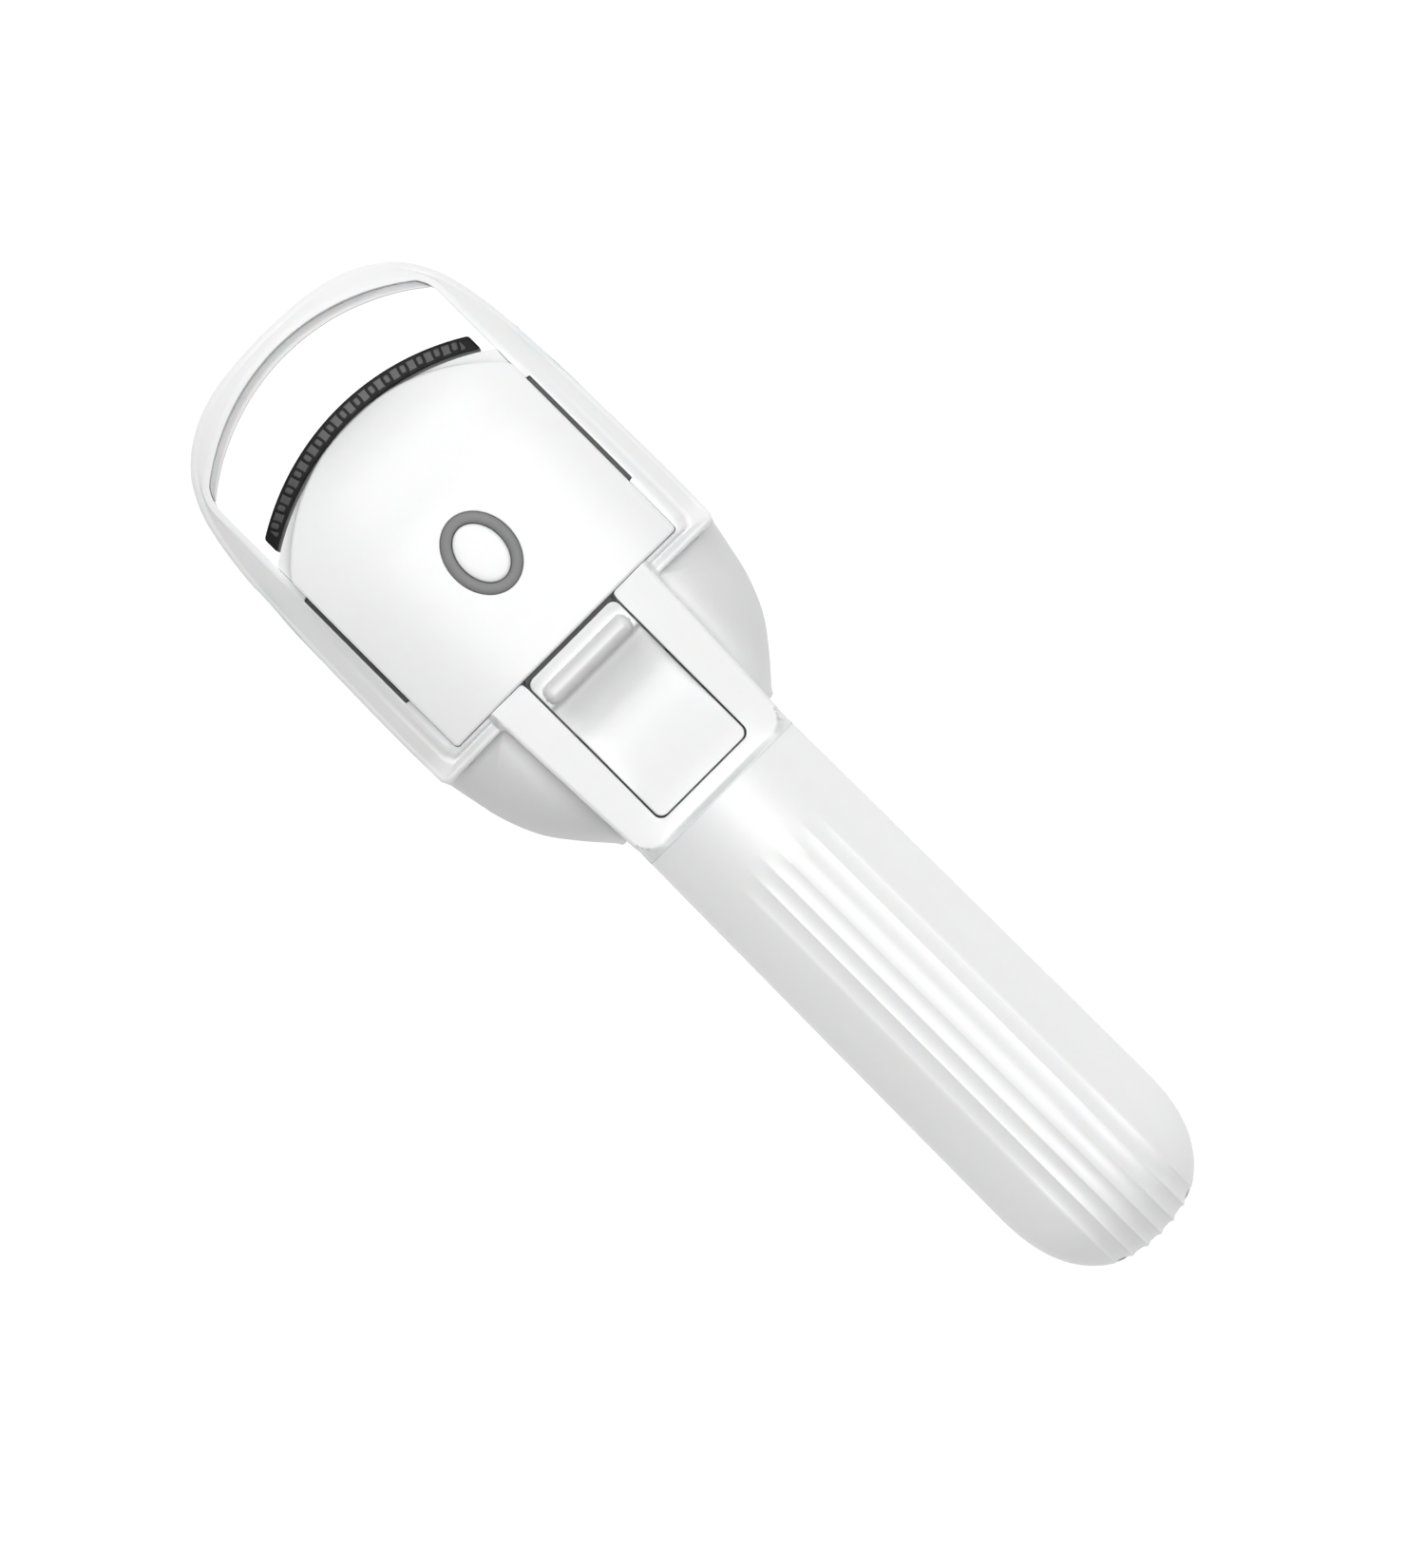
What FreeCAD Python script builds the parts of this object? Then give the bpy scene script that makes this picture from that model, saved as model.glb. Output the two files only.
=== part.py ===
import FreeCAD, Part
import math
import os
import Sketcher

# Heated clamp-type eyelash curler: a tall head whose arch carries a silicone pad, a thumb-driven
# carriage that lifts a curved heater strip towards that pad, and a fluted battery handle.
# Millimetres; +X across the head, +Y from the handle end to the arch, +Z up from the back to the front.

os.makedirs("parts", exist_ok=True)
doc = FreeCAD.newDocument("eyelash_curler")

SIZES = {
    # handle
    "half_length": 66.5,
    "core_height": 9.4,
    "handle_half_width": 10.85,
    "neck_half_width": 10.4,
    "dome_length": 13.0,
    "dome_blend": 6.9,
    "dome_blend_half_width": 9.9,
    "dome_nose_radius": 10.55,
    "dome_side_radius": 20.0,
    "handle_wall": 1.6,
    "front_shell_top": -1.6,
    "rear_shell_top": 2.0,
    "joint_gap": 0.05,
    "flute_pitch": 1.88,
    "flute_depth": 0.36,
    "flute_top": -13.0,
    "flute_run_out": 4.0,
    "flute_run_out_angle": 70.0,
    # head outline
    "head_half_width": 20.0,
    "shoulder_half_width": 19.6,
    "shoulder_low": 19.4,
    "side_foot": 25.0,
    "side_radius": 530.0,
    "bend_half_width": 19.55,
    "bend_along": 47.0,
    "bend_radius": 38.0,
    "corner_half_width": 18.2,
    "corner_along": 56.6,
    "corner_radius": 12.0,
    "brow_half_width": 11.2,
    "brow_along": 64.85,
    "brow_radius": 39.0,
    # head section
    "crown_radius": 55.0,
    "crown_height": 18.3,
    "crown_tilt": 5.3,
    "hollow_radius": 50.0,
    "hollow_height": 7.3,
    "bridge_along": 48.2,
    # window in the head
    "window_half_width": 16.4,
    "window_low": 21.1,
    "lip_underside": 14.6,
    "lip_arc_half_width": 15.5,
    "lip_arc_side": 58.95,
    "lip_arc_radius": 25.0,
    "slot_low": 28.5,
    "slot_high": 43.65,
    "slot_half_width": 16.95,
    # tongue under the thumb
    "tongue_low": -1.4,
    "tongue_low_half_width": 10.3,
    "tongue_high_half_width": 11.2,
    "tongue_low_height": 16.0,
    "tongue_high_height": 18.0,
    "tongue_wall": 1.5,
    "thumb_slot_half_width": 6.65,
    "thumb_slot_low": 0.6,
    # rear cover
    "cover_wall": 1.8,
    "wing_half_width": 11.3,
    "wing_radius": 27.0,
    "cover_edge": 3.5,
    # arch pad
    "pad_low_side": 58.2,
    "pad_half_width": 15.3,
    "pad_radius": 26.5,
    "pad_groove": 0.9,
    "pad_setback": 1.2,
    "groove_front": 3.0,
    "groove_back": 1.8,
    # carriage
    "carriage_half_width": 16.1,
    "plate_low": 11.4,
    "plate_high": 12.9,
    "arm_half_width": 8.6,
    "tab_low": 28.7,
    "tab_high": 36.5,
    "tab_reach": 16.7,
    "panel_low": 21.4,
    "panel_side_high": 45.7,
    "panel_arc_radius": 20.65,
    "panel_wall": 1.6,
    "panel_crown_radius": 60.0,
    "panel_crown": 19.6,
    "panel_brow": 14.0,
    "panel_brow_along": 53.5,
    "panel_bend": 38.0,
    "panel_bend_radius": 24.3,
    "strip_radius": 28.9,
    "strip_half_width": 15.03,
    "strip_low_side": 49.25,
    "strip_high_side": 51.1,
    "comb_cells": 15,
    "comb_pitch": 1.9,
    "comb_cell_width": 1.0,
    "comb_cell_length": 1.1,
    "comb_cell_depth": 1.0,
    "strip_setback": 0.7,
    "strip_lift": 1.2,
    "element_front_cover": 2.2,
    "element_back_cover": 2.4,
    "holder_radius": 28.0,
    "holder_high_side": 48.1,
    "holder_low_side": 45.6,
    # thumb slider
    "thumb_half_width": 6.1,
    "thumb_low": 1.2,
    "thumb_high": 20.9,
    "shelf_height": 18.3,
    "ridge_height": 20.3,
    "flange_low": 12.95,
    "flange_high": 14.1,
    "flange_half_width": 7.2,
    "flange_foot": -7.5,
    "flange_head": 13.4,
    "scoop_low_height": 17.2,
    "scoop_high_height": 15.9,
    "scoop_radius": 22.0,
    "ridge_foot": 17.0,
    "ridge_top": 19.4,
    "ridge_radius": 1.3,
    # power button
    "button_along": 33.8,
    "ring_half_width": 3.9,
    "ring_half_length": 4.8,
    "cap_half_width": 2.58,
    "cap_half_length": 3.53,
    # guide and springs
    "rod_radius": 0.8,
    "rod_across": 6.6,
    "rod_height": 7.6,
    "bushing_radius": 1.35,
    "lug_low": 5.0,
    "lug_high": 8.5,
    "lug_inner": 4.6,
    "lug_bottom": 5.4,
    "spring_radius": 1.75,
    "spring_wire": 0.22,
    "spring_turns": 7,
    "chassis_low": 3.2,
    "chassis_high": 45.0,
    "chassis_floor": 3.2,
    "chassis_half_width": 9.6,
    "deck_half_width": 14.0,
    "wall_thickness": 1.5,
    "wall_half_width": 8.7,
    "upper_wall": 21.0,
    "shield_low": 9.5,
    "shield_high": 10.6,
    "board_thickness": 1.0,
    # battery and charging
    "cell_radius": 5.0,
    "cell_low": -53.4,
    "cell_high": -9.4,
    "cell_height": 9.0,
    "port_half_width": 4.47,
    "port_half_depth": 1.58,
    "port_mouth": -65.1,
    "port_length": 7.35,
    "port_slack": 0.12,
    "port_wall": 0.3,
    "port_depth": 6.0,
    "port_blade_half_width": 3.3,
    "port_blade_half_depth": 0.35,
    "cradle_half_width": 4.0,
    "cradle_setback": 4.0,
    "charge_board_half_width": 5.5,
    "charge_board_low": -62.0,
    "charge_board_high": -55.0,
    "charge_board_height": 6.75,
    # boards and ribbon
    "control_board_half_width": 11.3,
    "control_board_low": 25.0,
    "control_board_high": 44.5,
    "switch_half_width": 2.2,
    "switch_top": 15.5,
    "light_across": 3.1,
    "light_along": 3.2,
    "light_half_width": 0.4,
    "light_half_length": 0.8,
    "light_height": 0.6,
    "main_board_half_width": 13.0,
    "main_board_low": 23.2,
    "main_board_high": 38.5,
    "chip_height": 0.9,
    "ribbon_half_width": 2.5,
    "ribbon_thickness": 0.15,
    "ribbon_low": 4.3,
    "ribbon_high": 11.35,
    "ribbon_fold": 13.5,
    "ribbon_fold_radius": 3.6,
    # screws
    "screw_head_radius": 1.5,
    "screw_head_height": 0.6,
    "screw_head_start": 0.4,
    "screw_radius": 0.7,
    "counterbore_radius": 1.7,
    "counterbore_depth": 1.0,
    "boss_radius": 1.8,
    "panel_boss_radius": 1.4,
    "panel_screw_radius": 0.6,
    "panel_screw_head_radius": 1.2,
    "panel_screw_head_height": 0.5,
    # a length that takes a cutting tool well past the object
    "overshoot": 30.0,
}

PAST = ("-overshoot", "overshoot")

dims = doc.addObject("Spreadsheet::Sheet", "dims")
for row, (name, size) in enumerate(SIZES.items(), start=1):
    dims.set(f"A{row}", name)
    dims.set(f"B{row}", str(size))
    dims.setAlias(f"B{row}", name)
doc.recompute()


def named(text):
    """Turn bare size names into references to the sheet."""
    words = []
    word = ""
    for letter in str(text) + " ":
        if letter.isalnum() or letter in "_.":
            word += letter
            continue
        words.append("dims." + word if word in SIZES else word)
        words.append(letter)
        word = ""
    return "".join(words).strip()


def number(text):
    """The present value of a size expression."""
    found = dims.evalExpression(named(text))
    return float(getattr(found, "Value", found))


def bind(thing, path, text):
    """Drive one property by a size expression."""
    thing.setExpression(path, named(text))


def place(thing, across="0", along="0", up="0"):
    """Drive the position of a primitive."""
    bind(thing, "Placement.Base.x", across)
    bind(thing, "Placement.Base.y", along)
    bind(thing, "Placement.Base.z", up)
    return thing


def block(name, across, along, up):
    """A box between two size expressions on each axis."""
    box = doc.addObject("Part::Box", name)
    bind(box, "Length", f"({across[1]}) - ({across[0]})")
    bind(box, "Width", f"({along[1]}) - ({along[0]})")
    bind(box, "Height", f"({up[1]}) - ({up[0]})")
    return place(box, across[0], along[0], up[0])


def rod(name, radius, length, at, axis):
    """A cylinder from a start point along an axis."""
    cylinder = doc.addObject("Part::Cylinder", name)
    bind(cylinder, "Radius", radius)
    bind(cylinder, "Height", length)
    cylinder.Placement.Rotation = FreeCAD.Rotation(FreeCAD.Vector(0, 0, 1), FreeCAD.Vector(*axis))
    return place(cylinder, *at)


def joined(kind, name, pieces):
    """Fuse or intersect a list of solids."""
    result = doc.addObject(kind, name)
    result.Shapes = pieces
    return result


def fuse(name, *pieces):
    return joined("Part::MultiFuse", name, list(pieces))


def common(name, *pieces):
    return joined("Part::MultiCommon", name, list(pieces))


def cut(name, base, *tools):
    """Take one or more solids away from a base."""
    result = doc.addObject("Part::Cut", name)
    result.Base = base
    result.Tool = tools[0] if len(tools) == 1 else fuse(name + "_tools", *tools)
    return result


def arc_centre(start, end, radius):
    """Centre of the short arc between two points; a negative radius bulges to the other side."""
    middle = (start + end) / 2
    chord = end - start
    away = math.sqrt(max(radius * radius - chord.Length * chord.Length / 4, 0.0))
    left = FreeCAD.Vector(-chord.y, chord.x, 0).normalize()
    return middle + left * (away if radius > 0 else -away)


def name_rule(sketch, rule, name, text):
    """Add a named constraint to a sketch and drive it by a size expression."""
    index = sketch.addConstraint(rule)
    sketch.renameConstraint(index, name)
    bind(sketch, f"Constraints.{name}", text)


def flat_sketch(body, plane, name):
    """A sketch on one of the body's own planes."""
    sketch = body.newObject("Sketcher::SketchObject", name)
    planes = {feature.Role: feature for feature in body.Origin.OriginFeatures}
    sketch.AttachmentSupport = [(planes[plane + "_Plane"], "")]
    sketch.MapMode = "FlatFace"
    return sketch


def draw(sketch, corners):
    """Draw a closed outline, anticlockwise, from corners (x, y) or (x, y, radius of the arc leaving it)."""
    points = [FreeCAD.Vector(number(corner[0]), number(corner[1]), 0) for corner in corners]
    ends = []
    for index, corner in enumerate(corners):
        start = points[index]
        end = points[(index + 1) % len(points)]
        if len(corner) == 2:
            edge = sketch.addGeometry(Part.LineSegment(start, end))
            ends.append((edge, 1, 2))
            continue
        radius = number(corner[2])
        centre = arc_centre(start, end, radius)
        first, last = (start, end) if radius > 0 else (end, start)
        angles = [math.atan2(p.y - centre.y, p.x - centre.x) for p in (first, last)]
        if angles[1] < angles[0]:
            angles[1] += 2 * math.pi
        circle = Part.Circle(centre, FreeCAD.Vector(0, 0, 1), abs(radius))
        edge = sketch.addGeometry(Part.ArcOfCircle(circle, *angles))
        ends.append((edge, 1, 2) if radius > 0 else (edge, 2, 1))
    for index, corner in enumerate(corners):
        edge, first, last = ends[index]
        following = ends[(index + 1) % len(ends)]
        sketch.addConstraint(Sketcher.Constraint("Coincident", edge, last, following[0], following[1]))
        for axis, part in (("X", 0), ("Y", 1)):
            value = number(corner[part])
            rule = Sketcher.Constraint("Distance" + axis, -1, 1, edge, first, value)
            name_rule(sketch, rule, f"corner_{index}_{axis}", corner[part])
        if len(corner) == 3:
            rule = Sketcher.Constraint("Radius", edge, abs(number(corner[2])))
            name_rule(sketch, rule, f"arc_{index}", f"abs({corner[2]})")


def prism(name, plane, corners, low, high):
    """A body padded from a closed outline, between two levels along the plane's own axis."""
    body = doc.addObject("PartDesign::Body", name)
    sketch = flat_sketch(body, plane, name + "_outline")
    side = -1 if plane == "XZ" else 1
    bind(sketch, "AttachmentOffset.Base.z", f"{side} * ({low})")
    draw(sketch, corners)
    pad = body.newObject("PartDesign::Pad", name + "_pad")
    pad.Profile = sketch
    pad.Reversed = side < 0
    bind(pad, "Length", f"({high}) - ({low})")
    body.Tip = pad
    return body


def mirrored(corners):
    """Complete a right-hand outline with its left-hand half, keeping the arcs."""
    left = []
    for index in range(len(corners) - 1, -1, -1):
        across, along = corners[index][:2]
        arc = corners[index - 1][2:] if index else ()
        left.append((f"-({across})", along) + tuple(arc))
    return corners + left


def oval(name, half_width, half_length, low, high):
    """An upright elliptical plug centred on the power button."""
    curve = doc.addObject("Part::Ellipse", name + "_curve")
    bind(curve, "MajorRadius", half_length)
    bind(curve, "MinorRadius", half_width)
    curve.Placement.Rotation = FreeCAD.Rotation(FreeCAD.Vector(0, 0, 1), 90)
    place(curve, "0", "button_along", low)
    solid = doc.addObject("Part::Extrusion", name)
    solid.Base = curve
    solid.DirMode = "Custom"
    solid.Dir = FreeCAD.Vector(0, 0, 1)
    solid.Solid = True
    bind(solid, "LengthFwd", f"({high}) - ({low})")
    return solid


def rounded(name, base, radius, wanted):
    """Round the edges of a solid that a test picks out."""
    doc.recompute()
    fillet = doc.addObject("Part::Fillet", name)
    fillet.Base = base
    size = number(radius)
    edges = enumerate(base.Shape.Edges, start=1)
    fillet.Edges = [(index, size, size) for index, edge in edges if wanted(edge)]
    return fillet


nodes = []


def finished(name, thing):
    """Keep a solid as one sub-part under its own node name."""
    thing.Label = name
    nodes.append((name, thing))
    return thing


# ---------------------------------------------------------------- handle

def turned(name, corners, up):
    """A body turned about a line along Y, from a half profile drawn flat."""
    body = doc.addObject("PartDesign::Body", name)
    sketch = flat_sketch(body, "XY", name + "_profile")
    draw(sketch, corners)
    revolution = body.newObject("PartDesign::Revolution", name + "_turn")
    revolution.Profile = sketch
    revolution.ReferenceAxis = (sketch, ["V_Axis"])
    revolution.Angle = 360
    body.Tip = revolution
    return place(body, "0", "0", up)


def handle_form(name, inset):
    """The round handle with its domed end, shrunk by an inset all round."""
    return turned(name, [
        ("0", f"{inset} - half_length", f"dome_nose_radius - {inset}"),
        (f"dome_blend_half_width - {inset}", f"dome_blend - half_length + 0.4 * {inset}",
         f"dome_side_radius - {inset}"),
        (f"handle_half_width - {inset}", "dome_length - half_length"),
        (f"neck_half_width - {inset}", "rear_shell_top"),
        ("0", "rear_shell_top"),
    ], "core_height")


def flute_cutter():
    """Six round grooves side by side; they fade out as the dome falls away and run out near the thumb."""
    groove_radius = "(flute_pitch * flute_pitch / 4 + flute_depth * flute_depth) / (2 * flute_depth)"
    corners = []
    for index in range(7):
        across = f"{index - 3} * flute_pitch"
        level = f"core_height + sqrt(handle_half_width * handle_half_width - ({across}) * ({across}))"
        corners.append((across, level, groove_radius) if index < 6 else (across, level))
    corners += [("3 * flute_pitch", "overshoot"), ("-3 * flute_pitch", "overshoot")]
    grooves = prism("flute_grooves", "XZ", corners, "-half_length", "flute_top")
    ramp = block("flute_ramp", PAST, ("0", "overshoot"), ("0", "overshoot"))
    ramp.Placement.Rotation = FreeCAD.Rotation(FreeCAD.Vector(1, 0, 0), number("flute_run_out_angle"))
    ramp_foot = "core_height + handle_half_width - 2 * flute_depth"
    place(ramp, "-overshoot", "flute_top - flute_run_out", ramp_foot)
    return cut("flute_cutter", grooves, ramp)


def port_opening(name, margin):
    """The rounded slot that the charging socket sits in."""
    half_width = f"port_half_width + {margin}"
    half_depth = f"port_half_depth + {margin}"
    run = "2 * port_length"
    start = "-half_length - 1"
    flat = f"({half_width}) - ({half_depth})"
    middle = block(name + "_middle", (f"-({flat})", flat), (start, f"{start} + {run}"),
                   (f"core_height - ({half_depth})", f"core_height + {half_depth}"))
    ends = []
    for side in (-1, 1):
        at = (f"{side} * ({flat})", start, "core_height")
        ends.append(rod(name + "_end", half_depth, run, at, (0, 1, 0)))
    return fuse(name, middle, *ends)


def handle_shells():
    """Front and rear halves of the handle, joined along the mid-plane."""
    front_zone = block("front_zone", PAST, ("-half_length - overshoot", "front_shell_top"),
                       ("core_height + joint_gap", "overshoot"))
    front = common("front_half", handle_form("front_outer", "0"), front_zone)
    front_core = handle_form("front_inner", "handle_wall")
    front_port = port_opening("front_port", "port_slack")
    finished("handle_front_shell", cut("front_shell", front, front_core, front_port, flute_cutter()))
    rear_zone = block("rear_zone", PAST, ("-half_length - overshoot", "rear_shell_top"), ("0", "core_height"))
    rear = common("rear_half", handle_form("rear_outer", "0"), rear_zone)
    rear_floor = block("rear_floor", PAST, ("-half_length - overshoot", "overshoot"),
                       ("-overshoot", "handle_wall"))
    rear_core = cut("rear_cavity", handle_form("rear_inner", "handle_wall"), rear_floor)
    finished("handle_rear_shell", cut("rear_shell", rear, rear_core, port_opening("rear_port", "port_slack")))


# ---------------------------------------------------------------- head

def crown(name, drop="0"):
    """A long cylinder whose top is the bowed, tilted front face of the head."""
    cylinder = doc.addObject("Part::Cylinder", name)
    bind(cylinder, "Radius", f"crown_radius - ({drop})")
    cylinder.Height = 120
    cylinder.Placement.Rotation = FreeCAD.Rotation(FreeCAD.Vector(1, 0, 0), -90 - number("crown_tilt"))
    start_height = "crown_height - crown_radius + 40 * tan(crown_tilt * 1 deg)"
    return place(cylinder, "0", "shoulder_low - 40", start_height)


def hollow(name, lift="0"):
    """The cylinder that bows the back of the arch inwards, raised by a lift."""
    at = ("0", "bridge_along - 4", f"hollow_height - hollow_radius + {lift}")
    return rod(name, "hollow_radius", "2 * overshoot", at, (0, 1, 0))


def head_outline():
    """Right-hand outline of the head, from its shoulder to the brow."""
    return [
        ("shoulder_half_width", "shoulder_low"),
        ("head_half_width", "side_foot", "side_radius"),
        ("bend_half_width", "bend_along", "bend_radius"),
        ("corner_half_width", "corner_along", "corner_radius"),
        ("brow_half_width", "brow_along", "brow_radius"),
    ]


def head_frame():
    """The one-piece front moulding: arch, two rails, shoulder and the tongue under the thumb."""
    slab = prism("ring_slab", "XY", mirrored(head_outline()), "0", "overshoot")
    window = prism("ring_window", "XY", mirrored([
        ("window_half_width", "window_low"),
        ("window_half_width", "55.0", "12"),
        ("lip_arc_half_width", "lip_arc_side", "lip_arc_radius"),
    ]), *PAST)
    notch_width = ("-slot_half_width", "slot_half_width")
    notches = block("ring_notches", notch_width, ("slot_low", "slot_high"), PAST)
    under = block("ring_under", PAST, ("0", "bridge_along"), ("-overshoot", "core_height + joint_gap"))
    passage_width = ("tongue_wall - tongue_high_half_width", "tongue_high_half_width - tongue_wall")
    passage = block("ring_passage", passage_width, ("shoulder_low - 1", "window_low + 1"),
                    ("-overshoot", "lip_underside"))
    front = common("ring_front", slab, crown("ring_crown"))
    ring = cut("ring", front, window, notches, under, passage, hollow("ring_hollow"),
               pad_groove("groove", "0"))
    slot_width = ("-thumb_slot_half_width", "thumb_slot_half_width")
    slot = block("thumb_slot", slot_width, ("thumb_slot_low", "window_low + 1"), PAST)
    finished("head_frame", cut("frame_slotted", fuse("frame_joined", ring, tongue_block()), slot))


def pad_groove(name, slack):
    """The arched channel behind the lip that grips the pad, less a slack all round."""
    half_width = f"lip_arc_half_width - 1 - {slack}"
    side = f"lip_arc_side + pad_groove + 0.45 - {slack}"
    band = prism(name + "_band", "XY", [
        (f"-({half_width})", "lip_arc_side - 0.5"),
        (half_width, "lip_arc_side - 0.5"),
        (half_width, side, f"lip_arc_radius + pad_groove - {slack}"),
        (f"-({half_width})", side),
    ], *PAST)
    zone = block(name + "_zone", PAST, ("bridge_along + 1.8", "half_length"), PAST)
    return common(name, band, crown(name + "_front", f"groove_front + {slack}"),
                  cut(name + "_depth", zone, hollow(name + "_back", f"groove_back + {slack}")))


def tongue_block():
    """The hollow tongue whose flat face carries the thumb slot."""
    outline = mirrored([
        ("tongue_low_half_width - 1.4", "tongue_low"),
        ("tongue_low_half_width", "tongue_low + 1.4"),
        ("tongue_high_half_width", "shoulder_low + 0.5"),
    ])
    slab = prism("tongue_slab", "XY", outline, "core_height + joint_gap", "overshoot")
    side = prism("tongue_side", "YZ", [
        ("tongue_low - 1", "0"),
        ("shoulder_low + 2", "0"),
        ("shoulder_low + 2", "tongue_high_height"),
        ("tongue_low - 1", "tongue_low_height"),
    ], *PAST)
    inner = prism("tongue_inner", "XY", mirrored([
        ("tongue_low_half_width - tongue_wall", "-10"),
        ("tongue_low_half_width - tongue_wall", "tongue_low + 1.4"),
        ("tongue_high_half_width - tongue_wall", "shoulder_low + 2.5"),
    ]), "0", "overshoot")
    ceiling = prism("tongue_ceiling", "YZ", [
        ("-11", "0"),
        ("shoulder_low + 2.5", "0"),
        ("shoulder_low + 2.5", "lip_underside"),
        ("shoulder_low - 1", "tongue_high_height - tongue_wall"),
        ("-11", "tongue_low_height - tongue_wall - 0.5"),
    ], *PAST)
    return cut("tongue", common("tongue_outer", slab, side), common("tongue_hollow", inner, ceiling))


def cover_outline(inset, low, high):
    """Outline of the rear cover between two levels, shrunk sideways by an inset."""
    return mirrored([
        (f"wing_half_width - {inset}", low, f"wing_radius - {inset}"),
        (f"shoulder_half_width - 0.15 - {inset}", "shoulder_low"),
        (f"head_half_width - {inset}", "side_foot"),
        (f"head_half_width - 0.45 - {inset}", high),
    ])


def lies_at_back(edge):
    """True for an edge in the plane of the object's back."""
    return edge.BoundBox.ZMax < 0.01


def rear_cover():
    """The bowl behind the head, with wings that narrow to the neck."""
    outer = cover_outline("0", "rear_shell_top + joint_gap", "bridge_along - joint_gap")
    inner = cover_outline("cover_wall", "rear_shell_top - 1", "bridge_along - cover_wall")
    shell = prism("cover_slab", "XY", outer, "0", "core_height")
    soft = rounded("cover_soft", shell, "cover_edge", lies_at_back)
    inside = prism("cover_inside", "XY", inner, "cover_wall", "core_height - cover_wall")
    mouth = prism("cover_mouth", "XY", mirrored([
        ("tongue_low_half_width - tongue_wall", "rear_shell_top - 1"),
        ("tongue_high_half_width - tongue_wall", "shoulder_low"),
        ("window_half_width", "shoulder_low"),
        ("window_half_width", "bridge_along - cover_wall"),
    ]), "cover_wall + 2", "core_height + 1")
    holes = []
    for across, along, top in screw_places():
        start = (across, along, "-1")
        holes.append(rod("cover_screw_hole", "screw_radius + 0.1", "cover_wall + 3", start, (0, 0, 1)))
        counterbore = rod("cover_counterbore", "counterbore_radius", "counterbore_depth + 1", start, (0, 0, 1))
        holes.append(counterbore)
    finished("head_rear_cover", cut("cover", soft, inside, mouth, *holes))


def arc_band(name, half_width, low, low_radius, high, high_radius):
    """An upright curved band that follows the arch, from its low edge to its high edge."""
    return prism(name, "XY", [
        (f"-({half_width})", low, f"-({low_radius})"),
        (half_width, low),
        (half_width, high, high_radius),
        (f"-({half_width})", high),
    ], *PAST)


def bowed(name, band, front_drop, back_lift):
    """Give a band the bowed front and hollow back of the arch."""
    return cut(name, common(name + "_front", band, crown(name + "_crown", front_drop)),
               hollow(name + "_hollow", back_lift))


def arch_pad():
    """The silicone pad held in the arch, with a rib that fills the groove."""
    band = arc_band("pad_band", "pad_half_width", "pad_low_side", "pad_radius",
                    "lip_arc_side + 0.05", "lip_arc_radius - 0.05")
    rise = "sqrt(lip_arc_radius * lip_arc_radius - lip_arc_half_width * lip_arc_half_width)"
    arc_middle = ("0", f"lip_arc_side - {rise}", "-overshoot")
    inside = rod("rib_inside", "lip_arc_radius - 0.1", "2 * overshoot", arc_middle, (0, 0, 1))
    rib = cut("pad_rib", pad_groove("rib", "0.06"), inside)
    finished("arch_pad", fuse("pad", bowed("pad_face", band, "pad_setback", "0.6"), rib))


# ---------------------------------------------------------------- carriage

def panel_side(name, inset):
    """Side profile of the front panel: level over the button, falling away to the brow."""
    return prism(name, "YZ", [
        ("panel_low - 2", "0"),
        ("half_length", "0"),
        ("half_length", f"panel_brow - 7.5 - {inset}"),
        (f"panel_brow_along - {inset}", f"panel_brow - {inset}", "panel_bend_radius"),
        (f"panel_bend - {inset}", f"panel_crown - {inset}"),
        ("panel_low - 2", f"panel_crown - {inset}"),
    ], *PAST)


def panel_solid(name, inset):
    """The panel's outer form, or its cavity when an inset is given."""
    slab = prism(name + "_slab", "XY", mirrored([
        (f"carriage_half_width - {inset}", f"panel_low + {inset}"),
        (f"carriage_half_width - {inset}", f"panel_side_high - 0.5 * {inset}", f"panel_arc_radius - {inset}"),
    ]), "plate_high + 0.05" if inset == "0" else "0", "overshoot")
    crown_form = rod(name + "_crown", f"panel_crown_radius - {inset}", "2 * overshoot",
                     ("0", "10", "panel_crown - panel_crown_radius"), (0, 1, 0))
    return common(name, slab, crown_form, panel_side(name + "_side", inset))


def boss_places():
    """Where the four screws hold the panel to its base."""
    across = "(carriage_half_width - 2.9)"
    return [(f"{side} * {across}", along) for side in (-1, 1) for along in ("24.5", "41.5")]


def panel_cover():
    """The crowned front panel with its oval hole and four screw bosses."""
    shell = cut("panel_shell", panel_solid("panel_outer", "0"), panel_solid("panel_inner", "panel_wall"))
    soft = rounded("panel_soft", shell, "0.5", panel_rim)
    bosses = []
    hole_size = ("ring_half_width + 0.05", "ring_half_length + 0.05")
    holes = [oval("panel_hole", *hole_size, "plate_high + 2", "overshoot")]
    for across, along in boss_places():
        boss_start = (across, along, "plate_high + 0.05")
        hole_start = (across, along, "plate_high")
        bosses.append(rod("panel_boss", "panel_boss_radius", "4", boss_start, (0, 0, 1)))
        holes.append(rod("panel_boss_hole", "panel_screw_radius + 0.05", "3.2", hole_start, (0, 0, 1)))
    finished("panel_cover", cut("panel", fuse("panel_bossed", soft, *bosses), *holes))


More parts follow.
